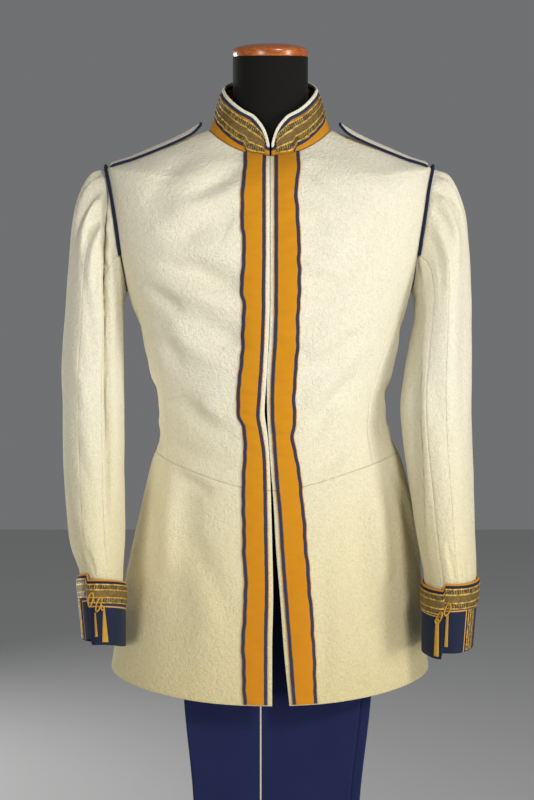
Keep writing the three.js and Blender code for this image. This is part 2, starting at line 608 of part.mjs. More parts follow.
// Sleeve surface: theta as on the armhole, row along the sleeve table
function sleeveSurface(side) {
  const table = side < 0 ? LEFT_SLEEVE : RIGHT_SLEEVE;
  const rows = table.map((row, place) => ({ ...row, place }));
  const read = (column, row) => readTable(rows, 'place', column, row);
  const ringPoint = (theta, row) => {
    const turn = theta * DEGREE;
    const outerX = read('outerX', row);
    const outerZ = read('outerZ', row);
    const inner = Math.cos(turn);
    const deep = read('halfDepth', row) * Math.sin(turn);
    const tilt = WRIST_TILT[side < 0 ? 'left' : 'right'] * smoothStep(TILT_FIRST_ROW, TILT_FULL_ROW, row);
    return new THREE.Vector3(
      (outerX + read('innerX', row)) / 2 + (inner * (read('innerX', row) - outerX)) / 2,
      read('y', row) - deep,
      (outerZ + read('innerZ', row)) / 2 + (inner * (read('innerZ', row) - outerZ)) / 2 + tilt * deep,
    );
  };
  const seat = (theta) => armholePoint(side, theta).add(new THREE.Vector3(side * SEAM_GAP * 1.6, 0, 0));
  return (theta, row) => {
    const point = ringPoint(theta, row);
    const hold = (1 - smoothStep(0, 1.4, row)) ** 1.5;
    point.addScaledVector(seat(theta).sub(ringPoint(theta, 0)), hold);
    const centre = ringPoint(0, row).add(ringPoint(180, row)).multiplyScalar(0.5);
    const radial = point.clone().sub(centre).normalize();
    const size = Math.abs(theta);
    const gathered =
      smoothStep(0, PLEATS.fullRow, row) * (1 - smoothStep(PLEATS.fullRow, PLEATS.endRow, row));
    const inPleats = smoothStep(PLEATS.from, PLEATS.from + 12, size);
    const wave = Math.cos(((180 - size) / PLEATS.pitch) * 2 * Math.PI + (theta < 0 ? 0.9 : 0));
    const depth = side < 0 ? GROOVE.leftDepth : GROOVE.rightDepth;
    const inGroove = Math.exp(-(((theta - GROOVE.angle) / GROOVE.width) ** 2));
    const opening = smoothStep(GROOVE.firstRow, GROOVE.fullRow, row);
    const closing = 1 - 0.6 * smoothStep(8.5, 11, row);
    const groove = -depth * inGroove * opening * closing;
    return point.addScaledVector(radial, PLEATS.height * gathered * inPleats * wave + groove);
  };
}

function outwardOf(surface, side, thetaStep = 0.6, rowStep = 0.02) {
  return (theta, row) => {
    const after = Math.max(row - rowStep, 0);
    const around = surface(theta + thetaStep, row).sub(surface(theta - thetaStep, row));
    const along = surface(theta, row + rowStep).sub(surface(theta, after));
    return around.cross(along).multiplyScalar(-side).normalize();
  };
}

function fineStations(from, to) {
  const stations = ARMHOLE_STATIONS.filter((theta) => theta >= from && theta < Math.min(to, 90));
  for (let theta = Math.max(from, 90); theta <= to; theta += FINE_STEP) stations.push(theta);
  return stations;
}

function addSleeve(word, side) {
  const surface = sleeveSurface(side);
  const outward = outwardOf(surface, side);
  const lastRow = LEFT_SLEEVE.length - 1;
  const rows = Array.from({ length: lastRow + 1 }, (_, k) => k);
  const apart = 0.14;
  const rising = fineStations(SLEEVE_SEAM, 180);
  rising[0] += apart;
  const over = [...rising, ...rising.slice(0, -1).reverse().map((theta) => 360 - theta)];
  const wrapTheta = (theta) => (theta > 180 ? theta - 360 : theta);
  const overSurface = (theta, row) => surface(wrapTheta(theta), row);
  const overOutward = (theta, row) => {
    const safe = theta > 179.5 && theta < 180.5 ? 179.5 : theta;
    return outward(wrapTheta(safe), row);
  };
  addPiece(`sleeve_top_${word}`, wall(overSurface, overOutward, over, rows, CLOTH, -CLOTH), CREAM);
  const under = ARMHOLE_STATIONS.filter((theta) => theta <= SLEEVE_SEAM);
  under[under.length - 1] -= apart;
  const both = [...under.slice(1).reverse().map((theta) => -theta), ...under];
  addPiece(`sleeve_under_${word}`, wall(surface, outward, both, rows, CLOTH, -CLOTH), CREAM);
}

// Cuff surface: theta as on the sleeve, share of the height from the top down
function cuffSurface(cuff, side) {
  return (theta, share) => {
    const turn = theta * DEGREE;
    const read = (column) => mix(cuff[column][0], cuff[column][1], share);
    const middle = (read('outerX') + read('innerX')) / 2;
    const half = Math.abs(read('outerX') - read('innerX')) / 2;
    const ahead = theta > 0 && theta < 180;
    const step = smoothStep(-CUFF_STEP_HALF_WIDTH, CUFF_STEP_HALF_WIDTH, theta - cuff.stepAngle);
    const inStep = ahead ? 1 - step : 0;
    const fade = Math.exp(-(((theta - cuff.stepAngle) / 40) ** 2));
    const lower = ahead ? inStep : smoothStep(-180, 0, theta);
    const grow = 1 + (inStep * CUFF_OVERLAP * fade) / half;
    const deep = read('halfDepth') * Math.sin(turn) * grow;
    return new THREE.Vector3(
      middle - side * half * Math.cos(turn) * grow,
      read('y') - deep,
      read('z') - cuff.stepDrop * (lower - 0.5) + WRIST_TILT[side < 0 ? 'left' : 'right'] * deep,
    );
  };
}

function cuffStations(word) {
  const { stepAngle, downAngle } = CUFFS[word];
  const near = [stepAngle - CUFF_STEP_HALF_WIDTH, stepAngle + CUFF_STEP_HALF_WIDTH];
  const tails = CUFF_TAILS.filter((tail) => tail.side === word).map((tail) => tail.angle);
  const added = [...near, ...tails, downAngle];
  const clear = (theta) => added.every((angle) => Math.abs(theta - angle) > 2 * CUFF_STEP_HALF_WIDTH);
  const ahead = [...CUFF_STATIONS.filter(clear), ...added].sort((a, b) => a - b);
  const behind = CUFF_STATIONS.slice(1, -1).reverse().map((theta) => -theta);
  return [...behind, ...ahead];
}

function addCuff(word, side) {
  const cuff = CUFFS[word];
  const surface = cuffSurface(cuff, side);
  const outward = outwardOf(surface, side, 1, 0.02);
  const stations = cuffStations(word);
  addPiece(`cuff_${word}`, wall(surface, outward, stations, [0, 0.5, 1], CLOTH, -CLOTH, true), NAVY);
  const lace = [CUFF_LACE.top, CUFF_LACE.bottom];
  addPiece(`cuff_lace_${word}`, wall(surface, outward, stations, lace, LACE, LAID_ON, true), GOLD);
  const down = [-1, 0, 1].map((turn) => cuff.downAngle + turn * CUFF_DOWN_LACE.halfAngle);
  const fall = [CUFF_LACE.bottom + 0.01, 0.66, CUFF_DOWN_LACE.bottom];
  addPiece(`cuff_lace_down_${word}`, wall(surface, outward, down, fall, LACE, LAID_ON), GOLD);
  const halfAcross = Math.abs(cuff.outerX[0] - cuff.innerX[0]) / 2;
  const perDegree = ((cuff.halfDepth[0] + halfAcross) / 2) * DEGREE;
  for (const tail of CUFF_TAILS.filter((one) => one.side === word)) {
    const halfWidth = (share) => mix(tail.narrow, tail.wide, (share - tail.top) / (tail.foot - tail.top)) / 2;
    const tailSurface = (across, share) =>
      surface(tail.angle + (across * halfWidth(share)) / perDegree, share);
    const tailOutward = (across, share) => outward(tail.angle, share);
    const shares = [tail.top, (tail.top + tail.foot) / 2, tail.foot];
    const geometry = wall(tailSurface, tailOutward, [-1, 0, 1], shares, LACE, TAIL_LIFT);
    addPiece(`cuff_tail_${word}_${tail.name}`, geometry, YELLOW);
  }
}

// Collar surface: signed angle from centre front, share of the height from foot to top ring
function collarSurface(angle, share) {
  const side = angle < 0 ? -1 : 1;
  const turn = Math.abs(angle);
  const foot = plainBodyPoint(side, turn, NECK_LEVEL);
  foot.z += SEAM_GAP;
  const across = Math.sin(turn);
  const ahead = Math.cos(turn);
  const depth = ahead > 0 ? COLLAR.front : COLLAR.back;
  const radius = 1 / Math.hypot(across / COLLAR.half, ahead / depth);
  const endTop = ahead > 0 ? COLLAR.frontTop : COLLAR.backTop;
  const turned = ahead > 0 ? ahead * ahead : Math.abs(ahead) ** COLLAR_BACK_POWER;
  const top = new THREE.Vector3(
    side * radius * across,
    -radius * ahead,
    mix(COLLAR.sideTop, endTop, turned),
  );
  const point = foot.lerp(top, share);
  const out = new THREE.Vector3(side * across, -ahead, 0);
  return point.addScaledVector(out, COLLAR.bulge * Math.sin(Math.PI * share));
}

function collarOutward(angle, share) {
  const turn = 0.01;
  const lift = 0.01;
  const around = collarSurface(angle + turn, share).sub(collarSurface(angle - turn, share));
  const up = collarSurface(angle, share + lift).sub(collarSurface(angle, share - lift));
  return around.cross(up).normalize();
}

const collarEdgeShare = (angle) => readTable(COLLAR_CORNER, 'angle', 'share', Math.abs(angle) / DEGREE);

function addCollar() {
  const half = COLLAR_ANGLES.map((angle) => angle * DEGREE);
  const angles = [...half.map((angle) => -angle), ...half.slice(0, -1).reverse()];
  const around = angles.map((angle) => (angle === -Math.PI ? -Math.PI + 1e-6 : angle));
  const surface = (angle, level) => collarSurface(angle, level * collarEdgeShare(angle));
  const outward = (angle, level) => {
    const calm = Math.sign(angle) * Math.min(Math.max(Math.abs(angle), 2 * DEGREE), 178 * DEGREE);
    return collarOutward(calm, Math.max(level * collarEdgeShare(angle), 0.02));
  };
  const geometry = wall(surface, outward, around, [0, 0.25, 0.5, 0.75, 1], CLOTH, -CLOTH);
  addPiece('collar', geometry, ORANGE);
}

function addCollarLace(word, side) {
  const first = COLLAR_LACE.firstAngle;
  const angles = [first, ...COLLAR_ANGLES.filter((angle) => angle > first && angle < 180), 179.7];
  const top = (angle) => Math.max(collarEdgeShare(angle) - COLLAR_LACE.belowEdge, COLLAR_LACE.foot + 0.05);
  const bottom = (angle) => {
    const degrees = Math.abs(angle) / DEGREE;
    const level = top(angle) - COLLAR_LACE.height;
    const turned = smoothStep(COLLAR_LACE.turnDown - 4, COLLAR_LACE.turnDown + 4, degrees);
    return mix(COLLAR_LACE.foot, Math.max(level, COLLAR_LACE.foot), turned);
  };
  const shareAt = (angle, level) => mix(bottom(angle), top(angle), level);
  const turnTo = (degrees) => side * degrees * DEGREE;
  const surface = (degrees, level) => collarSurface(turnTo(degrees), shareAt(turnTo(degrees), level));
  const outward = (degrees, level) => {
    const calm = Math.min(Math.max(degrees, 3), 177);
    return collarOutward(turnTo(calm), Math.max(shareAt(turnTo(degrees), level), 0.05));
  };
  addPiece(`collar_lace_${word}`, wall(surface, outward, angles, [0, 0.5, 1], LACE, LAID_ON), GOLD);
}

// Level of the shoulder ring that passes under a point seen from above
function shoulderLevel(side, x, y) {
  let low = 1480;
  let high = NECK_LEVEL;
  for (let k = 0; k < 30; k += 1) {
    const level = (low + high) / 2;
    const ring = bodyRing(side, level);
    const depth = y < 0 ? ring.front : ring.back;
    const size = (Math.abs(x) / ring.half) ** ring.square + (Math.abs(y) / depth) ** ring.square;
    if (size > 1) high = level;
    else low = level;
  }
  return (low + high) / 2;
}

function addShoulderStrap(word, side) {
  const outer = bodyRing(side, ARMHOLE.top).half - STRAP.fromPoint;
  const length = outer - STRAP.inner;
  const surface = (along, across) => {
    const pastTip = Math.max(0, along * length - (length - STRAP.tip));
    const round = Math.sqrt(Math.max(1 - (pastTip / STRAP.tip) ** 2, 0.12));
    const x = mix(outer, STRAP.inner, along);
    const y = STRAP.back + across * mix(STRAP.outerHalf, STRAP.innerHalf, along) * round;
    const level = shoulderLevel(side, x, y);
    const point = plainBodyPoint(side, Math.atan2(x, -y), level);
    point.z += STRAP.lift + STRAP.tipRise * along ** 4;
    return point;
  };
  const outward = () => new THREE.Vector3(side * 0.3, 0, 0.95).normalize();
  const along = [0, 0.08, 0.18, 0.32, 0.5, 0.68, 0.84, 0.94, 1];
  const across = [-1, -0.5, 0, 0.5, 1];
  addPiece(`shoulder_strap_${word}`, wall(surface, outward, along, across, STRAP.thickness), CREAM);
}

// Round cord along a smooth path
function cordGeometry(points, radius, steps, sides = 6) {
  const section = new THREE.Shape();
  for (let k = 0; k < sides; k += 1) {
    const turn = (k / sides) * 2 * Math.PI;
    const corner = [radius * Math.cos(turn), radius * Math.sin(turn)];
    if (k === 0) section.moveTo(...corner);
    else section.lineTo(...corner);
  }
  section.closePath();
  const extrudePath = new THREE.CatmullRomCurve3(points);
  return new THREE.ExtrudeGeometry(section, { extrudePath, steps, curveSegments: 1 });
}

function addArmholePiping(word, side) {
  const points = [];
  const ahead = [68, 78, 90, 105, 120, 135, 150, 165];
  const thetas = [...ahead, 180, ...ahead.slice().reverse().map((theta) => -theta)];
  for (const theta of thetas) {
    const size = Math.abs(theta);
    const angle = armholeAngle(side, theta);
    const point = armholePoint(side, theta);
    const radial = new THREE.Vector3(0, -Math.sin(theta * DEGREE), -Math.cos(theta * DEGREE));
    const out = plainBodyNormal(side, angle, Math.min(armholeLevel(size), ARMHOLE.top - 1));
    const along = radial.addScaledVector(out, -radial.dot(out)).normalize();
    const away = along.multiplyScalar(PIPING_ALONG).addScaledVector(out, PIPING_OUT).normalize();
    points.push(point.addScaledVector(away, PIPING_RADIUS + PIPING_LIFT));
  }
  addPiece(`armhole_piping_${word}`, cordGeometry(points, PIPING_RADIUS, 28, 5), NAVY);
}

// Half of a flat folded leg: from the outer seam round one crease to the inner seam
function addLegPanel(name, xShift, yMiddle, creaseSide) {
  const levels = TROUSERS.map((row) => row.z).filter((z) => z !== 1020);
  const roundness = LEG_THICKNESS / 2;
  const gap = SEAM_GAP / 2;
  const path = [
    { face: -1, share: 0 },
    { face: -1, share: 0.5 },
    { face: -1, share: 1 },
    { turn: -45 },
    { turn: 0 },
    { turn: 45 },
    { face: 1, share: 1 },
    { face: 1, share: 0.5 },
    { face: 1, share: 0 },
  ];
  const skin = (inset) => (i, j) => {
    const step = path[i];
    const z = levels[j];
    const crease = readTable(TROUSERS, 'z', creaseSide < 0 ? 'left' : 'right', z) + xShift;
    const seam = LEG_SEAM + xShift + creaseSide * gap;
    const centre = crease - creaseSide * roundness;
    const radius = roundness - inset;
    if (step.turn !== undefined) {
      const turn = step.turn * DEGREE;
      const x = centre + creaseSide * radius * Math.cos(turn);
      return new THREE.Vector3(x, yMiddle + radius * Math.sin(turn), z);
    }
    return new THREE.Vector3(mix(seam, centre, step.share), yMiddle + step.face * radius, z);
  };
  const geometry = gridSolid(skin(0), skin(TROUSER_CLOTH), path.length - 1, levels.length - 1);
  addPiece(name, geometry, NAVY);
}

// Folded waistband: one rounded solid, its front and top layered at the folds
function addWaistband() {
  const bottom = TROUSERS[TROUSERS.length - 1].z + SEAM_GAP;
  const { left, right } = WAISTBAND;
  const nearFace = NEAR_LEG_Y - LEG_THICKNESS / 2;
  const farFace = nearFace + 2 * LEG_THICKNESS + SEAM_GAP;
  const layer = (farFace - nearFace) / WAISTBAND.layers;
  const outline = new THREE.Shape();
  outline.moveTo(left + layer, nearFace);
  outline.lineTo(right - layer, nearFace);
  for (let k = 0; k < WAISTBAND.layers; k += 1) {
    const y = nearFace + k * layer;
    outline.quadraticCurveTo(right, y + layer / 2, right - layer / 2, y + layer);
  }
  outline.lineTo(left + layer / 2, farFace);
  for (let k = WAISTBAND.layers - 1; k >= 0; k -= 1) {
    const y = nearFace + k * layer;
    outline.quadraticCurveTo(left, y + layer / 2, left + (k === 0 ? layer : layer / 2), y);
  }
  const depth = WAISTBAND.top - bottom;
  const geometry = new THREE.ExtrudeGeometry(outline, { depth, bevelEnabled: false, curveSegments: 2 });
  geometry.translate(0, 0, bottom);
  addPiece('trousers_waistband', geometry, NAVY);
}

// Pale piping in the outer seam of the near leg
function addSidePiping() {
  const rows = [TROUSERS[0].z + 1, 400, 700, TROUSERS[TROUSERS.length - 1].z - 1];
  const face = NEAR_LEG_Y - LEG_THICKNESS / 2 - SEAM_GAP;
  const half = SIDE_PIPING_WIDTH / 2;
  const skin = (rise) => (i, j) => {
    const across = [-half, 0, half][i];
    return new THREE.Vector3(LEG_SEAM + across, face - rise * (i === 1 ? 1.1 : 0.4), rows[j]);
  };
  addPiece('trousers_side_piping', gridSolid(skin(1), skin(0), 2, rows.length - 1), PALE);
}

// Dress form torso and neck: rings joined upward and closed at both ends
function addFormTorso() {
  const sides = 28;
  const squareness = 2.2;
  const positions = [];
  for (const ring of FORM) {
    for (let k = 0; k < sides; k += 1) {
      const turn = (k / sides) * 2 * Math.PI;
      const ahead = Math.cos(turn);
      const depth = ahead > 0 ? ring.front : ring.back;
      const size =
        (Math.abs(Math.sin(turn)) / ring.half) ** squareness + (Math.abs(ahead) / depth) ** squareness;
      const radius = size ** (-1 / squareness);
      positions.push(radius * Math.sin(turn), -radius * ahead + ring.shift, ring.z);
    }
  }
  const last = FORM.length - 1;
  const bottomCentre = FORM.length * sides;
  positions.push(0, FORM[0].shift, FORM[0].z, 0, FORM[last].shift, FORM[last].z);
  const triangles = [];
  for (let j = 0; j < last; j += 1) {
    for (let k = 0; k < sides; k += 1) {
      const next = (k + 1) % sides;
      const a = j * sides + k;
      const b = j * sides + next;
      triangles.push(a, b, b + sides, a, b + sides, a + sides);
    }
  }
  for (let k = 0; k < sides; k += 1) {
    const next = (k + 1) % sides;
    triangles.push(bottomCentre, next, k);
    triangles.push(bottomCentre + 1, last * sides + k, last * sides + next);
  }
  addPiece('form_torso', closedGeometry(positions, triangles), BLACK, 0.8);
}

function latheUp(profile, segments) {
  const points = profile.map(([radius, z]) => new THREE.Vector2(radius, z));
  return new THREE.LatheGeometry(points, segments).rotateX(Math.PI / 2);
}

function addFormFurniture() {
  const { radius, bottom, height } = CAP;
  const cap = latheUp([
    [0, bottom],
    [radius - 2, bottom],
    [radius, bottom + 2.5],
    [radius, bottom + 7],
    [radius - 2.5, bottom + 10],
    [radius * 0.72, bottom + 14.5],
    [radius * 0.4, bottom + 17],
    [0, bottom + height],
  ], 28);
  cap.translate(0, FORM[FORM.length - 1].shift, 0);
  addPiece('form_cap', cap, WOOD, 0.35);
  const poleBottom = FOOT.height + SEAM_GAP;
  const poleTop = FORM[0].z - SEAM_GAP;
  const pole = latheUp([[0, poleBottom], [POLE_RADIUS, poleBottom], [POLE_RADIUS, poleTop], [0, poleTop]], 20);
  pole.translate(0, FORM[0].shift, 0);
  addPiece('form_pole', pole, BLACK, 0.5);
  const foot = latheUp([
    [0, 0],
    [FOOT.radius, 0],
    [FOOT.radius, 8],
    [FOOT.radius - 8, 14],
    [FOOT.radius - 60, FOOT.height - 1],
    [POLE_RADIUS + 6, FOOT.height],
    [0, FOOT.height],
  ], 32);
  addPiece('form_foot', foot, BLACK, 0.5);
}

for (const [word, side] of [['left', -1], ['right', 1]]) {
  const frontColumns = 10;
  const backColumns = 8;
  addBodyPanel(`tunic_front_${word}`, side, true, frontColumns);
  addSideBody(`tunic_side_${word}`, side);
  addBodyPanel(`tunic_back_${word}`, side, false, backColumns);
  addSkirt(`tunic_skirt_${word}`, side, frontColumns, backColumns);
  addFrontBand(`front_band_${word}`, side);
  addSleeve(word, side);
  addArmholePiping(word, side);
  addCuff(word, side);
  addCollarLace(word, side);
  addShoulderStrap(word, side);
}
addCollar();
const legDepth = LEG_THICKNESS + SEAM_GAP;
addLegPanel('trousers_near_leg_front', 0, NEAR_LEG_Y, -1);
addLegPanel('trousers_near_leg_back', 0, NEAR_LEG_Y, 1);
addLegPanel('trousers_far_leg_front', FAR_LEG_SHIFT, NEAR_LEG_Y + legDepth, -1);
addLegPanel('trousers_far_leg_back', FAR_LEG_SHIFT, NEAR_LEG_Y + legDepth, 1);
addWaistband();
addSidePiping();
addFormTorso();
addFormFurniture();

export default model;
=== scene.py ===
# A military tunic of cream kersey with orange and blue bands and gold lace, worn on a black
# dress form, with its blue trousers hung folded flat inside the skirt.
# Sizes are in millimetres until a mesh is made. The front faces -Y and +Z is up.
# "left" and "right" are as seen from the front.
import math

import bpy
import numpy as np
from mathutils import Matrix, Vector


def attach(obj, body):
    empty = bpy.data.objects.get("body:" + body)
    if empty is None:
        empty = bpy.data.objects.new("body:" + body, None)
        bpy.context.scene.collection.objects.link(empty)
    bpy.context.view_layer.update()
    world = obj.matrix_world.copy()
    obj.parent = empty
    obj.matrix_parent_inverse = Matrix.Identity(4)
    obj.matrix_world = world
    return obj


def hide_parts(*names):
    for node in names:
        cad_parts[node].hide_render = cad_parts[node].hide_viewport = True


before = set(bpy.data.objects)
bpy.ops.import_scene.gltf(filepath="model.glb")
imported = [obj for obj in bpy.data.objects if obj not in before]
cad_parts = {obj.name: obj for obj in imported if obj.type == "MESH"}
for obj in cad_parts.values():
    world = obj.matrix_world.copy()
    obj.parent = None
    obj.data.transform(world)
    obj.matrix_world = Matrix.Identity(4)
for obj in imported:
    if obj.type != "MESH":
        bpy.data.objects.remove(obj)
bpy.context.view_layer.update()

MM = 0.001
CLOTH = 2.4
LACE = 1.2
SEAM_GAP = 0.3
LAID_ON = 0.6
SPACING = 3.4
EDGE_ROUND = 2.2
EDGE_SINK = 0.9
WORD = {-1: "left", 1: "right"}
rng = np.random.default_rng(7)


# Rows of numbers, tables with named columns, and their smooth reading
def numbers(count, text):
    return np.array(text.replace(",", " ").split(), float).reshape(-1, count)


def table(columns, text):
    names = columns.split()
    return dict(zip(names, numbers(len(names), text).T))


def read(tab, column, at):
    """Value of a column at a given value of the first one."""
    x, y = tab[next(iter(tab))], tab[column]
    slope = np.diff(y) / np.diff(x)
    tangent = np.empty(len(x))
    tangent[0], tangent[-1] = slope[0], slope[-1]
    both = slope[:-1] * slope[1:]
    total = np.where(both > 0, slope[:-1] + slope[1:], 1)
    tangent[1:-1] = np.where(both > 0, 2 * both / total, 0)
    at = np.clip(at, x[0], x[-1])
    i = np.clip(np.searchsorted(x, at) - 1, 0, len(x) - 2)
    span = x[i + 1] - x[i]
    t = (at - x[i]) / span
    return (
        (2 * t**3 - 3 * t**2 + 1) * y[i]
        + (t**3 - 2 * t**2 + t) * span * tangent[i]
        + (3 * t**2 - 2 * t**3) * y[i + 1]
        + (t**3 - t**2) * span * tangent[i + 1]
    )


def smooth(start, end, x):
    t = np.clip((x - start) / (end - start), 0, 1)
    return t * t * (3 - 2 * t)


def mix(a, b, t):
    return a + (b - a) * t


def bump(x, centre, width):
    return np.exp(-(((x - centre) / width) ** 2))


def vec(x, y, z):
    return np.stack(np.broadcast_arrays(x, y, z), axis=-1).astype(float)


# Body of the tunic: z is the level at the side, front_drop and back_rise tilt each ring
BODY = table("z left right front back square front_drop back_rise", """
840 217 216 150 146 2.15 20 -6
931 202 206 140 138 2.15 12 -3
1013 186 198 130 129 2.15 5 0
1068 173 191 123 121 2.15 2 0
1123 160 178 116 110 2.15 0 0
1151 150 166 114 103 2.15 0 0
1178 148 156 113 98 2.2 0 0
1205 150 156 114 97 2.2 0 0
1232 157 161 116 99 2.2 0 0
1286 170 173 121 104 2.25 0 0
1340 187 185 125 107 2.4 0 0
1380 197 194.5 125 108 2.6 0 0
1420 205 202.5 122 108 2.8 1 0
1460 211 209 116 107 2.8 3 1
1500 215.5 212.5 104 103 2.7 8 3
1516 217 214 96.5 99 2.5 11 4
1528 186 184 88.5 93 2.4 14 6
1542 151 150 78.5 85 2.25 19 8
1556 112 111 69 76 2.2 26 10
1567 81 80 61 67 2.15 33 12
""")
HEM_LEVEL = 840
NECK_LEVEL = 1567
WAIST_CENTRE = 1100
WAIST_RISE = 38

# x of the two free front edges by height
FRONT_EDGES = table("z left right", """
815 2.2 25.4, 889 2.2 17.8, 965 3.5 12.2, 1025 2.4 7.2, 1092 0.6 3.4, 1130 -0.8 0.2, 1169 -3.6 -2.6,
1203 -7.7 -4.3, 1240 -5.6 -4.8, 1300 -2.2 -1.5, 1349 -0.9 -0.3, 1540 -0.9 -0.3
""")

# x of the borders of the two front bands by height
BAND_FOOT, BAND_LENGTH, BAND_CROWN, BAND_DEEPEST = 841.5, 744.5, 0.5, 0.7
BANDS = table("z left_outer left_inner right_inner right_outer", """
815 -35.6 -3.4 28.6 61.6, 899 -38.2 -3.4 22.4 58.2, 972 -34.8 -2.2 16.4 53,
1025 -36.9 -2.8 12.6 48.6, 1070 -37.5 -3.6 9.8 45.2, 1107 -38.2 -4.3 6.1 41.3,
1145 -35.6 -5.6 3.5 36.1, 1169 -36.3 -8.9 1.8 30.9, 1182 -37.2 -11.2 0.6 32.6,
1197 -43.7 -13.4 -0.3 34.8, 1219 -45 -12.1 -0.5 32.8, 1258 -41.1 -9.5 0.9 35.5, 1300 -38 -7.4 3.4 38,
1346 -37 -6.2 4.5 38.5, 1357 -39.6 -6.2 4.5 39.5, 1386 -38.4 -6 4.5 40.3, 1402 -37.5 -5.6 4.5 38.9,
1431 -36.4 -5.5 4.5 39.5, 1444 -39.6 -5.5 4.5 38.3, 1487 -38.6 -5.5 4.5 35.8,
1510 -36.7 -5.6 4.6 38.5, 1540 -34.6 -4.6 4.6 38.8
""")

# Large soft folds: front 1 or back -1, x and level of the centre, half length, half width,
# lean and height
FOLDS = numbers(7, """
1 -112 1000 110 26 0.1 -4
1 -78 930 90 30 0.05 3
1 118 980 110 26 -0.14 -4
1 160 1040 80 20 -0.25 3
1 -92 1395 95 24 -0.75 -3
1 96 1385 95 24 0.75 -3
1 -140 1250 70 22 0.2 2.5
-1 -95 960 120 30 0.06 4
-1 100 960 120 30 -0.06 4
-1 -60 1250 90 26 -0.3 -3
-1 66 1240 90 26 0.3 -3
""")

# Creases as short curved lines through three points: x and z on the front and the back,
# y and z on the two sides. Then the half width and the height, which is below 0 in a trough
# and is multiplied by the depth of its face.
FRONT_DEPTH, BACK_DEPTH, SIDE_DEPTH = 2.5, 1.9, 1.8
FRONT_CREASES = numbers(8, """
-39 1520 -74 1497 -104 1479 11 -2.4
-107 1528 -140 1505 -161 1469 10 -1.3
-47 1449 -78 1449 -114 1428 15 -2.2
-42 1367 -84 1382 -140 1398 14 -2.2
-162 1365 -138 1351 -115 1334 8 -1.6
-93 1325 -57 1302 -47 1284 15 -2
-131 1297 -126 1276 -115 1255 9 -1.4
-120 1220 -89 1188 -47 1172 13 -2
-126 1151 -87 1139 -47 1135 10 -1.2
-126 1121 -103 1106 -77 1095 7 -1.8
-42 1490 -101 1467 -161 1438 16 1.8
-42 1408 -93 1406 -145 1413 15 1.6
-47 1340 -104 1357 -166 1377 12 1.7
-130 1325 -104 1288 -58 1262 12 1.7
-92 1215 -79 1204 -63 1196 9 1
46 1515 80 1500 145 1448 12 -2.2
119 1541 145 1518 166 1494 9 -1.2
42 1449 58 1446 77 1439 8 -1.2
42 1413 61 1410 82 1401 8 -1.1
43 1374 62 1376 87 1369 9 -1.1
46 1278 82 1299 119 1325 13 1.7
46 1210 88 1254 124 1293 12 1.9
52 1189 83 1215 109 1246 10 -1.9
47 1163 65 1182 78 1205 8 -1.3
57 1125 81 1139 99 1162 9 -1.5
-129 1118 -135 1054 -138 990 12 2.4
-105 1034 -76 983 -53 928 14 -1.4
137 1094 144 1033 148 971 12 2.4
72 1024 71 931 68 838 13 -1.6
115 1073 119 980 121 886 13 -1.6
""")
BACK_CREASES = numbers(8, """
-30 1215 -70 1196 -112 1206 11 -2
26 1230 64 1208 108 1214 12 -2.2
-22 1182 -60 1172 -98 1176 9 1.5
30 1190 66 1176 101 1172 9 1.6
-40 1265 -84 1290 -128 1330 13 -1.8
36 1276 80 1302 126 1345 13 -1.9
-66 1400 -104 1372 -142 1362 12 1.5
58 1410 98 1386 138 1370 12 1.6
-50 1495 -92 1488 -140 1470 11 -1.5
44 1500 90 1494 142 1478 11 -1.6
-58 1090 -66 1010 -72 900 14 2.2
60 1090 70 1004 74 886 14 2.3
-118 1080 -126 990 -140 905 12 -1.8
112 1084 124 1002 134 910 12 -1.7
-8 1080 -12 980 -10 880 9 -1.5
""")
LEFT_CREASES = numbers(8, """
-40 1330 -4 1300 34 1276 11 -1.6
-30 1236 6 1214 44 1206 11 -2
-44 1186 -6 1176 38 1180 9 1.4
-34 1110 -42 1030 -48 930 13 -1.8
26 1104 34 1018 42 900 13 2
""")
RIGHT_CREASES = numbers(8, """
-42 1322 -8 1296 30 1268 11 -1.5
-36 1230 2 1212 40 1200 11 -1.9
-46 1182 -10 1168 34 1172 9 1.5
-52 1110 -44 1040 -34 980 8 -3
-30 1096 -30 1010 -38 900 13 1.9
34 1100 42 1006 52 910 13 -1.8
""")

SIDE_SEAMS = table("rise left_front right_front back", """
0 69 60 141, 0.35 71 63 136, 0.7 75 71 119, 1 0 0 0
""")
ARMHOLE_BOTTOM, ARMHOLE_TOP, ARMHOLE_HALF_DEPTH = 1353, 1516, 48
SEAM_STATION = 45
SLEEVE_SEAM, SLEEVE_APART = 67.5, 0.14

SLEEVES = {-1: table("place outer_x outer_z inner_x inner_z half_depth y", """
0 -217.5 1516 -190.5 1353 48 0
1 -235 1507 -193 1347 57 -3
2 -253 1480 -195.5 1338 65 -6
3 -263 1445 -197 1318 70 -10
4 -268 1395 -197 1290 70 -16
5 -273 1325 -196 1246 70 -26
6 -277 1250 -195 1196 69 -39
7 -275.5 1168 -194 1140 67 -55
8 -272 1090 -193 1083 64 -71
9 -264 1022 -192.5 1026 60 -85
10 -251.8 986 -194.6 986 53.6 -94.6
11 -250 966 -195.6 966 51.6 -95.2
"""), 1: table("place outer_x outer_z inner_x inner_z half_depth y", """
0 214.5 1516 188.5 1353 48 0
1 235 1505 191 1347 57 -3
2 251 1478 193 1338 65 -6
3 261 1445 193 1318 71 -10
4 265 1395 188 1288 72 -15
5 267 1325 180 1244 72 -24
6 267 1250 175 1200 70 -36
7 268 1168 179 1144 67 -53
8 269.5 1090 187 1086 64 -70
9 271 1022 195 1026 60 -85
10 271.6 986 202.8 986 54.4 -94.6
11 270 966 204 966 52.4 -95.2
""")}
PLEAT_FROM, PLEAT_PITCH, PLEAT_HEIGHT, PLEAT_FULL, PLEAT_END = 72, 27, 4.6, 1.3, 4.2
FINE_PLEATS = 0.9
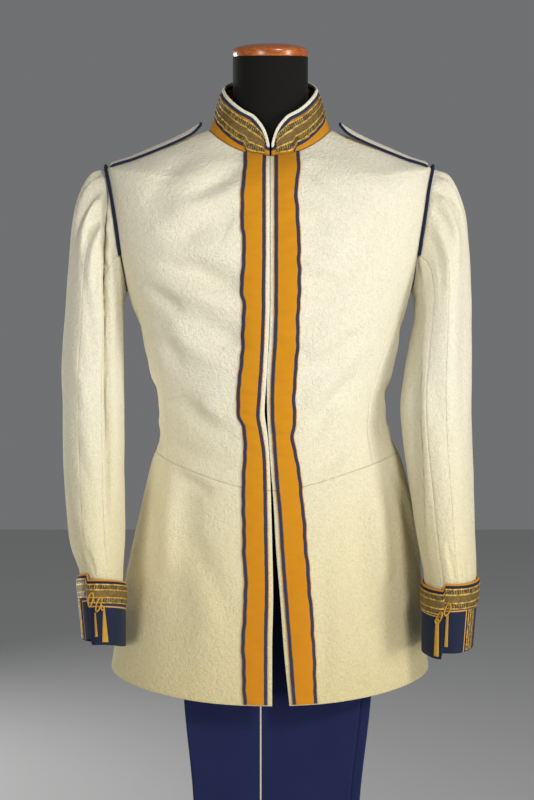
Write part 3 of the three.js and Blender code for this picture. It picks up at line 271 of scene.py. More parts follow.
WRIST_TILT, TILT_FIRST, TILT_FULL = {-1: 0.25, 1: 0}, 6.5, 10

# The deep fold down the front of each sleeve: its outer lip is steep, its inner slope long
FOLD_LINES = {-1: table("place angle depth", """
0 140 0, 0.15 137 3, 0.45 123 7, 0.85 111 10, 1.15 99 12, 1.55 89 14, 2.05 77 15, 2.85 69 15,
4.15 61 15, 5.9 58 13, 6.9 56 9, 7.95 55 3.5, 9 54 0, 11 54 0
"""), 1: table("place angle depth", """
0 64 0, 0.2 60 3, 1 48 9, 2.35 38 13, 3.4 42 15, 4.55 47 16, 5.95 54 16, 7.15 51 13, 8.6 38 6,
9.6 32 0, 11 30 0
""")}
FOLD_LIP, FOLD_SLOPE = 3.2, {-1: 15, 1: 24}
MIDDLE_SEAM, STITCHED_DEPTH = {-1: 112, 1: 99}, 0.8

# Sleeve creases by angle round the sleeve and place along it: three points, half width in
# millimetres and height. A degree is about 1.15 mm there and a place about 60 mm.
DEGREE_SIZE, PLACE_SIZE = 1.15, 60
SLEEVE_CREASES = {-1: numbers(8, """
104 0.5 110 1.6 116 3.2 7 -3
92 0.6 94 1.5 96 2.6 5 -1.8
128 0.5 134 1.7 138 3 7 -2.4
118 3.4 100 4.2 86 5.2 12 -1.8
134 5 112 5.8 92 6.2 12 1.6
120 6.6 104 7.4 84 7.8 11 -1.6
132 8 116 8.6 98 8.9 11 1.5
110 9.2 104 9.7 98 10.2 6 -1.8
126 9 128 9.6 126 10.3 6 -1.6
60 9 64 9.6 70 10.2 6 1.6
-60 5.2 -90 6 -120 6.4 13 -2
-50 6.8 -84 7.2 -118 7.6 12 1.8
-64 8.6 -96 9 -126 9.4 11 -1.8
-100 0.6 -108 1.8 -112 3.2 7 -2.6
-130 0.6 -136 1.8 -140 3 7 -2.4
150 3 158 4.6 160 6.4 12 1.6
20 2 28 3.6 30 5.6 11 -1.8
-20 4 -26 6 -24 8 13 1.6
"""), 1: numbers(8, """
100 0.5 102 1.4 104 2.6 5 -2.2
112 0.5 118 1.7 122 3.2 7 -2.8
136 0.5 140 1.6 142 2.8 6 -2.2
96 2.8 104 4.4 108 6.4 13 2
132 3 134 5 130 7.2 12 -1.8
82 5.4 92 6.6 112 7.4 11 -1.4
120 7.6 104 8.3 88 8.8 11 1.5
86 8.8 90 9.5 92 10.3 5 -2.2
106 8.9 106 9.6 108 10.3 5 -2
126 9.2 124 9.8 124 10.3 5 -1.6
-60 5 -92 5.8 -120 6.2 13 -2
-52 6.6 -86 7.1 -116 7.4 12 1.8
-62 8.4 -94 8.9 -124 9.2 11 -1.7
-102 0.6 -108 1.8 -112 3 7 -2.5
-134 0.6 -138 1.8 -142 3 7 -2.3
156 3 160 4.6 158 6.4 12 1.6
16 2 24 3.6 28 5.4 11 -1.8
-22 4.2 -26 6.2 -22 8.2 13 1.6
""")}

CUFFS = {
    -1: dict(outer_x=(-255.2, -247.5), inner_x=(-191.2, -191.6), z=(978, 892),
             half_depth=(57, 53), y=(-95, -97), step_angle=118, step_drop=8, down_angle=158),
    1: dict(outer_x=(275.4, 267.5), inner_x=(199.6, 200.2), z=(978, 886),
            half_depth=(58, 54), y=(-95, -97), step_angle=72, step_drop=8, down_angle=134),
}
CUFF_STEP_HALF = 2.5
CUFF_OVERLAP = 1.6
CUFF_LACE_TOP, CUFF_LACE_BOTTOM = 0.06, 0.36
CUFF_DOWN_HALF, CUFF_DOWN_BOTTOM = 9, 0.97
# Two tails on each cuff: their angle, top and foot as shares of its height, and widths there
CUFF_TAILS = [
    (-1, "a", 80, 0.42, 0.95, 3, 12),
    (-1, "b", 101, 0.5, 0.87, 2.5, 5),
    (1, "a", 60, 0.42, 0.96, 5.5, 9),
    (1, "b", 80, 0.42, 0.9, 4, 6),
]
TAIL_LIFT = 0.4

COLLAR_HALF, COLLAR_FRONT, COLLAR_BACK = 63, 52, 56
COLLAR_FRONT_TOP, COLLAR_SIDE_TOP, COLLAR_BACK_TOP, COLLAR_BULGE = 1599, 1621, 1642, -1.5
COLLAR_BACK_POWER = 1.1
COLLAR_CORNER = table("angle share", """
0 0.1, 1.5 0.24, 4 0.39, 8 0.53, 13.5 0.64, 26 0.765, 40 0.79, 55 0.84, 72 0.91, 88 1, 180 1
""")
COLLAR_LACE_BELOW, COLLAR_LACE_HEIGHT, COLLAR_LACE_FOOT = 0.17, 0.45, 0.03
COLLAR_LACE_TURN, COLLAR_LACE_FIRST = 30, 7.5
NO_STRIPE = 50

STRAP = dict(from_point=6, inner=92, outer_half=24, inner_half=19, tip=14, tip_rise=10, lift=0.7,
             thickness=3.2, back=-8)
SHOULDER_LOW = 1480
EDGING_RADIUS, EDGING_LIFT = 1.9, 2
PIPING_RADIUS, PIPING_LIFT, PIPING_ALONG, PIPING_OUT = 2, 2.8, 0.85, 0.6

TROUSERS = table("z left right", """
75 -96 95, 300 -96 94, 500 -97 97, 678 -103 106, 815 -115 120, 930 -120 126, 1020 -112 119,
1068 -99 105
""")
TROUSER_CLOTH, LEG_THICKNESS, LEG_SEAM, NEAR_LEG_Y, FAR_LEG_SHIFT = 1.6, 6.6, -13, -91, 14
LEG_FOOT, LEG_TOP, SIDE_PIPING_HALF = 74, 1068, 1.1
WAISTBAND_TOP, WAISTBAND_LEFT, WAISTBAND_RIGHT, WAISTBAND_LAYERS = 1106, -93, 103, 4

FORM = table("z half front back shift", """
958 96 62 66 4, 964 122 76 84 4, 1000 134 79 98 0, 1060 138 79.9 101 0, 1110 135 79.9 96 0,
1185 128 90 85 0, 1270 142 104 92 0, 1360 158 114 98 0, 1430 168 110 99 0, 1478 180 97 95 0,
1503 187 80 88 0, 1514 176 72 80 0, 1526 152 62 70 1, 1541 114 55 62 2, 1554 78 49 55 3,
1568 56 46 50 4, 1590 50 47 49 4, 1663 50 48 48 4
""")
FORM_SQUARE = 2.2
CAP_RADIUS, CAP_BOTTOM, CAP_HEIGHT = 50, 1663.3, 18
POLE_RADIUS, POLE_SHIFT, POLE_ENDS = 14, 4, (20.3, 957.7)
FOOT_PROFILE = numbers(2, """
158.5 0, 160 1.2, 160 7, 159 9.2, 156 11.2, 150 13.2, 128 16.2, 100 18.9, 60 19.6, 24 19.9, 8 20
""")


# Surfaces of the body
def ring(side, z):
    half = read(BODY, WORD[side], z)
    return half, read(BODY, "front", z), read(BODY, "back", z), read(BODY, "square", z)


def angle_at_x(side, x, z):
    half, front, _, square = ring(side, z)
    across = side * np.asarray(x, float)
    deep = front * np.clip(1 - (np.abs(across) / half) ** square, 0, 1) ** (1 / square)
    return np.arctan2(across, deep)


def angle_at_y(side, y, z):
    half, front, back, square = ring(side, z)
    depth = np.where(y < 0, front, back)
    across = half * np.clip(1 - (np.abs(y) / depth) ** square, 0, 1) ** (1 / square)
    return np.arctan2(across, -y)


def plain_body(side, angle, z):
    half, front, back, square = ring(side, z)
    across, ahead = np.sin(angle), np.cos(angle)
    depth = np.where(ahead > 0, front, back)
    radius = ((np.abs(across) / half) ** square + (np.abs(ahead) / depth) ** square) ** (-1 / square)
    y = -radius * ahead
    tilt = np.where(y < 0, -read(BODY, "front_drop", z), read(BODY, "back_rise", z))
    return vec(side * radius * across, y, z + tilt * (y / depth) ** 2)


def unit(v):
    return v / np.maximum(np.linalg.norm(v, axis=-1, keepdims=True), 1e-9)


def body_normal(side, angle, z):
    around = plain_body(side, angle + 0.004, z) - plain_body(side, angle - 0.004, z)
    up = plain_body(side, angle, z + 0.5) - plain_body(side, angle, z - 0.5)
    return unit(np.cross(around, up) * side)


def fold_height(p):
    height = np.zeros(p.shape[:-1])
    for front, x, z, length, width, lean, size in FOLDS:
        along = (p[..., 2] - z) / length
        across = (p[..., 0] - x - lean * (p[..., 2] - z)) / width
        height += (front * p[..., 1] < 0) * size * np.exp(-along * along - across * across)
    return height


# Soft creases beside curved lines in a plane: each has a low lip along one flank
def crease_height(a, b, rows):
    height = np.zeros(np.shape(a))
    steps = 18
    t = np.linspace(0, 1, steps + 1)
    for k, (a0, b0, am, bm, a1, b1, width, size) in enumerate(rows):
        ac, bc = 2 * am - (a0 + a1) / 2, 2 * bm - (b0 + b1) / 2
        pa = (1 - t) ** 2 * a0 + 2 * t * (1 - t) * ac + t * t * a1
        pb = (1 - t) ** 2 * b0 + 2 * t * (1 - t) * bc + t * t * b1
        reach = 3.2 * width
        near = (a > pa.min() - reach) & (a < pa.max() + reach)
        near &= (b > pb.min() - reach) & (b < pb.max() + reach)
        if not near.any():
            continue
        x, y = a[near], b[near]
        best = np.full(x.shape, 1e9)
        place, flank = np.zeros(x.shape), np.zeros(x.shape)
        for s in range(steps):
            da, db = pa[s + 1] - pa[s], pb[s + 1] - pb[s]
            length = math.hypot(da, db)
            u = np.clip(((x - pa[s]) * da + (y - pb[s]) * db) / length**2, 0, 1)
            gap_a, gap_b = x - pa[s] - u * da, y - pb[s] - u * db
            gap = np.hypot(gap_a, gap_b)
            better = gap < best
            best = np.where(better, gap, best)
            place = np.where(better, (s + u) / steps, place)
            flank = np.where(better, np.sign(gap_a * db - gap_b * da), flank)
        taper = np.clip(np.sin(np.pi * np.clip(place, 0, 1)), 0, 1) ** 0.55
        taper *= 1 + 0.22 * np.sin(5.3 * place + k)
        wide = width * (0.75 + 0.35 * taper)
        signed = best * flank
        lip = 0.34 * bump(signed, 1.9 * wide * (-1) ** k, 1.3 * wide)
        height[near] += size * (0.15 + 0.85 * taper) * (bump(signed, 0, wide) - lip)
    return height


# Faint unevenness of hung wool, from a few long waves in fixed directions
BODY_WAVES, SLEEVE_WAVES = 0.55, 0.8
WAVES = [
    (rng.normal(size=3), rng.uniform(45, 140), rng.uniform(0, 6.28), rng.uniform(0.5, 1)) for _ in range(14)
]


def unevenness(p):
    total = np.zeros(p.shape[:-1])
    for direction, length, phase, size in WAVES:
        turn = direction / np.linalg.norm(direction) * 2 * np.pi / length
        total += size * np.sin(p @ turn + phase)
    return total / 6


def body_relief(p, n):
    x, y, z = p[..., 0], p[..., 1], p[..., 2]
    faces = [
        (FRONT_CREASES, x, FRONT_DEPTH * smooth(0.05, 0.4, -n[..., 1])),
        (BACK_CREASES, x, BACK_DEPTH * smooth(0.05, 0.4, n[..., 1])),
        (LEFT_CREASES, y, SIDE_DEPTH * smooth(0.35, 0.75, -n[..., 0])),
        (RIGHT_CREASES, y, SIDE_DEPTH * smooth(0.35, 0.75, n[..., 0])),
    ]
    return sum(crease_height(a, z, rows) * weight for rows, a, weight in faces)


def body(side, angle, z):
    p = plain_body(side, angle, z)
    n = body_normal(side, angle, z)
    calm = 1 - smooth(1340, 1420, z) * smooth(120, 175, np.abs(p[..., 0]))
    collar_calm = 1 - smooth(1535, 1562, z)
    height = fold_height(p) * calm + body_relief(p, n) * collar_calm * (0.35 + 0.65 * calm)
    height += BODY_WAVES * unevenness(p) * collar_calm * calm
    return p + n * height[..., None]


def waist_seam(angle):
    return WAIST_CENTRE + WAIST_RISE * np.where(angle > np.pi / 2, 1, np.sin(angle) ** 2)


def front_edge_angle(side, z):
    height = z - read(BODY, "front_drop", z)
    return angle_at_x(side, read(FRONT_EDGES, WORD[side], height), z)


def armhole_level(theta):
    return mix(ARMHOLE_BOTTOM, ARMHOLE_TOP, (1 - np.cos(np.radians(theta))) / 2)


def armhole_angle(side, theta):
    return angle_at_y(side, -ARMHOLE_HALF_DEPTH * np.sin(np.radians(theta)), armhole_level(theta))


SEAM_TOP = float(armhole_level(SEAM_STATION))


def side_seam_angle(side, rise, front):
    column = f"{WORD[side]}_front" if front else "back"
    tab = {"rise": SIDE_SEAMS["rise"], "angle": SIDE_SEAMS[column].copy()}
    tab["angle"][-1] = math.degrees(armhole_angle(side, SEAM_STATION if front else -SEAM_STATION))
    return np.radians(read(tab, "angle", rise))


# Meshes
def spaced(length, spacing=SPACING, fine=True):
    """Shares from 0 to 1 along a length, closer at both ends."""
    count = max(int(round(length / spacing)), 2)
    shares = np.linspace(0, 1, count + 1)
    if not fine:
        return shares
    close = np.array([0.5, 1.3]) / length
    inner = shares[(shares > close[-1] * 1.4) & (shares < 1 - close[-1] * 1.4)]
    return np.concatenate([[0], close, inner, 1 - close[::-1], [1]])


def grid_normals(p, centre, wrapped=False):
    around = np.roll(p, -1, axis=1) - np.roll(p, 1, axis=1) if wrapped else np.gradient(p, axis=1)
    n = unit(np.cross(around, np.gradient(p, axis=0)))
    return n * (1 if (n * (p - centre)).sum() > 0 else -1)


def finish_mesh(mesh, attributes, sharp):
    for key, values in (attributes or {}).items():
        held = mesh.attributes.new(key, "FLOAT", "POINT")
        held.data.foreach_set("value", values.astype(np.float32).ravel())
    mesh.update(calc_edges=True)
    mesh.shade_smooth()
    if sharp:
        mesh.set_sharp_from_angle(angle=math.radians(sharp))
    return mesh


def lengths(p, axis):
    step = np.linalg.norm(np.diff(p, axis=axis), axis=-1)
    zero = np.zeros_like(np.take(step, [0], axis=axis))
    return np.concatenate([zero, np.cumsum(step, axis=axis)], axis=axis)


def shell(name, outer, inner, wrapped=False, attributes=None, sharp=48):
    """Closed wall between two grids of points, (rows, columns, 3)."""
    rows, columns = outer.shape[:2]
    uv = np.stack([lengths(outer, 1), lengths(outer, 0)], axis=-1)
    if wrapped:
        last = uv[:, -1:] + (uv[:, -1:] - uv[:, -2:-1])
        uv = np.concatenate([uv, last], axis=1)
    wide = uv.shape[1]
    spans = columns if wrapped else columns - 1
    j, i = np.meshgrid(np.arange(rows - 1), np.arange(spans), indexing="ij")
    corner = [(j, i), (j, i + 1), (j + 1, i + 1), (j + 1, i)]
    flat = np.stack([r * columns + c % columns for r, c in corner], axis=-1).reshape(-1, 4)
    flat_uv = np.stack([r * wide + c for r, c in corner], axis=-1).reshape(-1, 4)
    count = rows * columns
    faces, places = [flat, flat[:, ::-1] + count], [flat_uv, flat_uv[:, ::-1]]
    k = np.arange(spans)
    edges = [(0 * k, k + 1, 0 * k, k), (0 * k + rows - 1, k, 0 * k + rows - 1, k + 1)]
    if not wrapped:
        m = np.arange(rows - 1)
        edges += [(m, 0 * m, m + 1, 0 * m), (m + 1, 0 * m + columns - 1, m, 0 * m + columns - 1)]
    for r0, c0, r1, c1 in edges:
        a, b = r0 * columns + c0 % columns, r1 * columns + c1 % columns
        faces.append(np.stack([a, b, b + count, a + count], axis=-1))
        ua, ub = r0 * wide + c0, r1 * wide + c1
        places.append(np.stack([ua, ub, ub, ua], axis=-1))
    faces, places = np.concatenate(faces), np.concatenate(places)
    points = np.concatenate([outer.reshape(-1, 3), inner.reshape(-1, 3)])
    a, b, c, d = (points[faces[:, k]] for k in range(4))
    if (a * np.cross(b, c)).sum() + (a * np.cross(c, d)).sum() < 0:
        faces, places = faces[:, ::-1], places[:, ::-1]
    both = {key: np.concatenate([v.ravel(), v.ravel()]) for key, v in (attributes or {}).items()}
    mesh = bpy.data.meshes.new(name)
    mesh.vertices.add(len(points))
    mesh.vertices.foreach_set("co", (points * MM).astype(np.float32).ravel())
    mesh.loops.add(faces.size)
    mesh.loops.foreach_set("vertex_index", faces.astype(np.int32).ravel())
    mesh.polygons.add(len(faces))
    mesh.polygons.foreach_set("loop_start", np.arange(0, faces.size, 4, dtype=np.int32))
    layer = mesh.uv_layers.new(name="UVMap")
    layer.uv.foreach_set("vector", (uv.reshape(-1, 2)[places] * MM).astype(np.float32).ravel())
    return finish_mesh(mesh, both, sharp)


def edge_sink(p, wrapped=False):
    """How far the outer skin turns down beside the edges of a piece."""
    u, v = lengths(p, 1), lengths(p, 0)
    gap = np.minimum(v, v[-1:] - v)
    if not wrapped:
        gap = np.minimum(gap, np.minimum(u, u[:, -1:] - u))
    return EDGE_SINK * (1 - np.clip(gap / EDGE_ROUND, 0, 1)) ** 2


def cloth_wall(name, p, centre=None, thickness=CLOTH, lift=-CLOTH, wrapped=False, extra=0.0,
               attributes=None, sink=1.0):
    """Wall through a grid of points, its inner skin at the lift above them."""
    n = grid_normals(p, vec(0, 0, p[..., 2]) if centre is None else centre, wrapped)
    top = lift + thickness - sink * edge_sink(p, wrapped) + extra
    return shell(name, p + n * top[..., None], p + n * lift, wrapped, attributes)


def show(name, mesh, material, nodes=()):
    obj = bpy.data.objects.new(name, mesh)
    bpy.context.collection.objects.link(obj)
    mesh.materials.append(material)
    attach(obj, "root")
    if nodes:
        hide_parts(*nodes)
    return obj


def declare(obj, width, length, held, rests_on, with_pieces=()):
    """Flat size in metres; the area is that of one side of the wall."""
    area = sum(face.area for face in obj.data.polygons) / 2
    length = max(length, area / (0.995 * width))


def grid_size(p):
    return lengths(p, 1)[:, -1].max() * MM, lengths(p, 0)[-1].max() * MM


def cloth_piece(name, node, p, held, rests_on, slot="kersey_cream", material=None, **wall):
    """One sheet through a grid of points, of kersey unless another cloth is named."""
    obj = show(name, cloth_wall(node, p, **wall), material or kersey, [node])
    declare(obj, *grid_size(p), held, rests_on)
    return obj


def lace_piece(name, node, p, across, axis, rests_on, **wall):
    """Lace laid on a piece, with its share across and its length along one axis of the grid."""
    attributes = {"across": across, "along": lengths(p, axis) * MM}
    cloth_piece(name, node, p, "laid", rests_on, "lace_gold", lace, thickness=LACE, lift=LAID_ON,
                extra=lace_relief(across), attributes=attributes, sink=0.5, **wall)


def joined_rings(name, rings, sharp=None, looped=False, attributes=None):
    """Rings of equal length joined in order, closed by a fan at each end or looped end to end."""
    count, sides = rings.shape[:2]
    points = rings.reshape(-1, 3)
    j, k = np.meshgrid(np.arange(count if looped else count - 1), np.arange(sides), indexing="ij")
    after, beside = (j + 1) % count * sides, (k + 1) % sides
    corners = [j * sides + k, j * sides + beside, after + beside, after + k]
    faces = np.stack(corners, axis=-1).reshape(-1, 4).tolist()
    if not looped:
        points = np.concatenate([points, rings[[0, -1]].mean(axis=1)])
        last, tip = (count - 1) * sides, count * sides
        for k in range(sides):
            beside = (k + 1) % sides
            faces += [(tip, beside, k), (tip + 1, last + k, last + beside)]
    mesh = bpy.data.meshes.new(name)
    mesh.from_pydata((points * MM).tolist(), [], faces)
    missing = len(points) - count * sides
    padded = {key: np.pad(values, (0, missing)) for key, values in (attributes or {}).items()}
    return finish_mesh(mesh, padded, sharp)


def tube(name, path, radius, sides=10, looped=False):
    """Round cord along a path, with rounded ends."""
    ahead = unit(np.roll(path, -1, 0) - np.roll(path, 1, 0) if looped else np.gradient(path, axis=0))
    normal = np.zeros_like(path)
    normal[0] = unit(np.cross(ahead[0], [0.3, 0.2, 1.0]))
    for k in range(1, len(path)):
        normal[k] = unit(normal[k - 1] - ahead[k] * (normal[k - 1] @ ahead[k]))
    other = np.cross(ahead, normal)
    radii = np.full((len(path), 1, 1), float(radius))
    if not looped:
        radii[[0, -1]] *= 0.45
    turn = np.linspace(0, 2 * np.pi, sides, endpoint=False)
    circle = np.cos(turn)[None, :, None] * normal[:, None] + np.sin(turn)[None, :, None] * other[:, None]
    along = np.repeat(lengths(path, 0), sides) * MM
    attributes = {"along": along, "around": np.tile(turn, len(path))}
    return joined_rings(name, path[:, None] + circle * radii, None, looped, attributes)


# Materials
def new_material(name, colour, roughness, paint=None, sheen=0.0, specular=0.3, metallic=0.0):
    """A plain material, or one whose paint function adds nodes and gives their colour."""
    material = bpy.data.materials.new(name)
    material.use_nodes = True
    tree = material.node_tree
    shader = tree.nodes["Principled BSDF"]
    values = {"Base Color": (*colour, 1), "Roughness": roughness, "Sheen Weight": sheen,
              "Sheen Roughness": 0.5, "Specular IOR Level": specular, "Metallic": metallic}
    for key, value in values.items():
        shader.inputs[key].default_value = value
    painted = paint(tree, shader) if paint else None
    if painted is not None:
        tree.links.new(painted, shader.inputs["Base Color"])
    return material


def add(tree, kind, inputs=None, **settings):
    made = tree.nodes.new(kind)
    for key, value in settings.items():
        setattr(made, key, value)
    for key, value in (inputs or {}).items():
        if isinstance(value, bpy.types.NodeSocket):
            tree.links.new(value, made.inputs[key])
        else:
            made.inputs[key].default_value = value
    return made


def calc(operation, a, b=0.0, clamp=False):
    inputs = {0: a, 1: b}
    return add(a.id_data, "ShaderNodeMath", inputs, operation=operation, use_clamp=clamp).outputs[0]


def times(a, b):
    return calc("MULTIPLY", a, b)


def plus(a, b, clamp=False):
    return calc("ADD", a, b, clamp)


def minus(a, b):
    return calc("SUBTRACT", a, b)


def wave(value, length):
    return calc("SINE", times(value, 2 * math.pi / length))


def blend(share, a, b, mode="MIX"):
    """Two colours by a share, with a plain one given as three numbers."""
    a, b = ((*c, 1) if isinstance(c, tuple) else c for c in (a, b))
    inputs = {0: share, 6: a, 7: b}
    return add(share.id_data, "ShaderNodeMix", inputs, data_type="RGBA", blend_type=mode).outputs[2]


def noise(vector, scale, detail=2.0, roughness=0.5):
    inputs = {"Scale": scale, "Detail": detail, "Roughness": roughness, "Vector": vector}
    return add(vector.id_data, "ShaderNodeTexNoise", inputs).outputs[0]


def stretched(vector, x, y, z):
    inputs = {0: vector, 1: (x, y, z)}
    return add(vector.id_data, "ShaderNodeVectorMath", inputs, operation="MULTIPLY").outputs[0]


def ramp(value, low, high, start=0.0, end=1.0, kind="LINEAR"):
    inputs = {0: value, 1: low, 2: high, 3: start, 4: end}
    return add(value.id_data, "ShaderNodeMapRange", inputs, interpolation_type=kind).outputs[0]


def step_between(value, low, high, soft):
    """1 between low and high with soft borders."""
    rise = ramp(value, low - soft, low + soft, 0.0, 1.0, "SMOOTHSTEP")
    return times(rise, ramp(value, high - soft, high + soft, 1.0, 0.0, "SMOOTHSTEP"))


def attribute(tree, name):
    return add(tree, "ShaderNodeAttribute", attribute_name=name).outputs["Fac"]


def place_of(tree):
    return add(tree, "ShaderNodeTexCoord").outputs["Object"]


def level_of(place):
    return add(place.id_data, "ShaderNodeSeparateXYZ", {0: place}).outputs[2]


def set_bump(shader, height, strength, distance):
    inputs = {"Height": height, "Strength": strength, "Distance": distance}
    made = add(shader.id_data, "ShaderNodeBump", inputs)
    shader.id_data.links.new(made.outputs[0], shader.inputs["Normal"])


CREAM = (0.82, 0.775, 0.63)
# Painted shade: the cream turns darker and yellower on the lower body, and more so down the skirt
CREAM_PAINTED_SHADE_LOW = (0.74, 0.67, 0.45)
CREAM_PAINTED_SHADE_HEM = (0.64, 0.555, 0.315)
ORANGE = (0.56, 0.235, 0.009)
NAVY = (0.010, 0.014, 0.055)
CUFF_NAVY = (0.0125, 0.018, 0.040)
BORDER = (0.026, 0.030, 0.060)


def paint_kersey(tree, shader):
    """Milled wool with a fine curly nap, a little yellower in soft patches, and with painted shade that
    makes it darker and yellower from the belly down the skirt.
    """
    place = place_of(tree)
    patch = noise(place, 7, 3)
    height = level_of(place)
    # Painted shade: darker and yellower from the belly down, and more so down the skirt
    low = ramp(height, 1.24, 1.02)
    hem = ramp(height, 1.02, 0.82)
    colour = blend(hem, blend(low, CREAM, CREAM_PAINTED_SHADE_LOW), CREAM_PAINTED_SHADE_HEM)
    colour = blend(times(patch, 0.5), colour, (0.93, 0.89, 0.76), "MULTIPLY")
    nap = noise(place, 420, 3, 0.7)
    grain = noise(place, 190, 3, 0.6)
    dark = times(step_between(nap, 0.0, 0.47, 0.06), 0.42)
    colour = blend(dark, colour, (0.84, 0.81, 0.70), "MULTIPLY")
    worn = times(step_between(grain, 0.0, 0.46, 0.06), 0.28)
    colour = blend(worn, colour, (0.90, 0.88, 0.80), "MULTIPLY")
    height = plus(times(nap, 0.8), times(grain, 0.9))
    set_bump(shader, height, 1.0, 0.0022)
    return colour


def paint_wool(tree, shader, base):
    """Fine twill-backed wool with a short nap."""
    place = place_of(tree)
    fine = noise(place, 900, 3, 0.6)
    soft = noise(place, 26, 3)
    colour = blend(times(fine, 0.5), base, tuple(c * 0.72 for c in base))
    colour = blend(times(soft, 0.35), colour, tuple(min(c * 1.35 + 0.004, 1) for c in base))
    set_bump(shader, fine, 0.35, 0.0005)
    return colour


def make_wool(name, base, sheen=0.05):
    def paint(tree, shader):
        return paint_wool(tree, shader, base)

    return new_material(name, base, 0.85, paint, sheen, 0.1)


def paint_band(tree, shader):
    """Orange cloth between two blue border stripes, by the distance from the nearer edge."""
    place = place_of(tree)
    fine = noise(place, 1100, 2)
    patch = noise(stretched(place, 1, 1, 2.6), 60, 3)
    colour = blend(times(patch, 0.5), ORANGE, (0.44, 0.165, 0.007))
    colour = blend(times(fine, 0.35), colour, (0.64, 0.285, 0.014))
    # Painted shade: the band turns darker towards the bottom
    low = ramp(level_of(place), 1.15, 0.90)
    colour = blend(low, colour, (0.93, 0.86, 0.9), "MULTIPLY")
    edge = attribute(tree, "edge")
    wander = times(minus(noise(place, 90, 2), 0.5), 0.0012)
    edge = plus(edge, wander)
    stripe = step_between(edge, 0.0007, 0.0052, 0.0003)
    blue = blend(times(fine, 0.5), BORDER, (0.050, 0.055, 0.095))
    colour = blend(stripe, colour, blue)
    puckers = noise(stretched(place, 0.35, 0.35, 1.6), 110, 2)
    thread = step_between(edge, 0.0048, 0.0056, 0.0003)
    height = minus(times(puckers, 0.8), times(thread, 0.5))
    height = plus(height, times(fine, 0.18))
    set_bump(shader, height, 0.6, 0.0012)
    return colour


def paint_collar(tree, shader):
    """Cream roll at the edge, blue line, thin orange line, and below the lace blue over orange."""
    place = place_of(tree)
    fine = noise(place, 1100, 2)
    orange = blend(times(noise(place, 70, 3), 0.5), ORANGE, (0.46, 0.185, 0.02))
    blue = blend(times(fine, 0.5), BORDER, (0.045, 0.055, 0.105))
    edge, below = attribute(tree, "edge"), attribute(tree, "below")
    colour = blend(step_between(below, -1.0, 0.0048, 0.0003), orange, blue)
    colour = blend(step_between(edge, 0.0040, 0.0085, 0.0003), colour, blue)
    colour = blend(step_between(edge, -1.0, 0.0040, 0.0003), colour, paint_kersey(tree, shader))
    return colour


def paint_lace(tree, shader):
    """Metal thread lace: light border lines, dark ladder gaps and a ribbed middle."""
    across, along = attribute(tree, "across"), attribute(tree, "along")
    place = place_of(tree)
    wear = step_between(noise(place, 240, 3), 0.5, 2.0, 0.14)
    gold = blend(wear, (0.40, 0.25, 0.050), (0.12, 0.070, 0.016))
    light = blend(wear, (0.74, 0.49, 0.11), (0.34, 0.21, 0.045))
    dark = (0.025, 0.017, 0.010)
    lines = None
    for low, high in ((0.0, 0.07), (0.27, 0.34), (0.66, 0.73), (0.93, 1.0)):
        line = step_between(across, low, high, 0.012)
        lines = line if lines is None else plus(lines, line, True)
    ladder = plus(step_between(across, 0.07, 0.27, 0.01), step_between(across, 0.73, 0.93, 0.01), True)
    rungs = wave(along, 0.0031)
    gaps = times(step_between(rungs, 0.05, 2.0, 0.25), ladder)
    ribs = wave(across, 1 / 17)
    thread = wave(along, 0.0011)
    middle = step_between(across, 0.34, 0.66, 0.01)
    colour = blend(times(middle, 0.75), gold, (0.085, 0.050, 0.014))
    raised = times(step_between(ribs, 0.2, 2, 0.3), times(middle, 0.45))
    colour = blend(raised, colour, (0.34, 0.21, 0.045))
    colour = blend(lines, colour, light)
    colour = blend(times(gaps, 0.85), colour, dark)
    height = minus(lines, times(gaps, 0.8))
    height = plus(height, times(ribs, 0.15))
    height = plus(height, times(thread, 0.2))
    set_bump(shader, height, 0.8, 0.0006)
    return colour


def paint_cord(tree, shader):
    """Twisted silk cord, and the flat braid of the tails, with painted shade in the grooves of the twist."""
    along, around = attribute(tree, "along"), attribute(tree, "around")
    twist = calc("SINE", plus(times(along, 2 * math.pi / 0.0026), times(around, 2.0)))
    wear = noise(place_of(tree), 160, 3)
    colour = blend(wear, (0.80, 0.47, 0.050), (0.58, 0.31, 0.030))
    # Painted shade in the grooves of the twist
    colour = blend(step_between(twist, -2.0, -0.35, 0.2), colour, (0.34, 0.17, 0.015))
    set_bump(shader, twist, 0.7, 0.0005)
    return colour


def paint_cuff(tree, shader):
    """Navy cloth with an orange rim at the top, and a blue and an orange line round the lace."""
    colour = paint_wool(tree, shader, CUFF_NAVY)
    down, beside = attribute(tree, "down"), attribute(tree, "beside")
    corner = calc("MINIMUM", minus(down, 0.0300), plus(beside, 0.0026))
    orange_line = step_between(corner, 0.0048, 0.0066, 0.0003)
    blue_line = step_between(corner, 0.0014, 0.0048, 0.0003)
    colour = blend(blue_line, colour, (0.022, 0.034, 0.085))
    colour = blend(times(orange_line, 0.92), colour, (0.60, 0.30, 0.06))
    rim = step_between(down, -1.0, 0.0020, 0.0003)
    colour = blend(times(rim, 0.9), colour, (0.60, 0.24, 0.012))
    return colour


def paint_jersey(tree, shader):
    fine = noise(stretched(place_of(tree), 1, 1, 0.5), 1400, 2)
    set_bump(shader, fine, 0.3, 0.0004)


def paint_wood(tree, shader):
    """Varnished wood turned from one block, its grain running across the cap."""
    shader.inputs["Coat Weight"].default_value = 0.35
    shader.inputs["Coat Roughness"].default_value = 0.2
    place = place_of(tree)
    bent = noise(place, 9, 2)
    grain = noise(stretched(place, 1.0, 5.5, 9.0), 22, 5, 0.65)
    rings = calc("SINE", plus(times(grain, 26.0), times(bent, 8.0)))
    colour = blend(calc("MULTIPLY_ADD", rings, 0.5), (0.46, 0.125, 0.020), (0.30, 0.065, 0.010))
    fleck = noise(stretched(place, 1.0, 14.0, 14.0), 90, 2)
    colour = blend(step_between(fleck, 0.60, 1.0, 0.05), colour, (0.24, 0.06, 0.012))
    set_bump(shader, grain, 0.08, 0.0004)
    return colour


def paint_satin(tree, shader):
    set_bump(shader, noise(place_of(tree), 700, 2), 0.06, 0.0003)


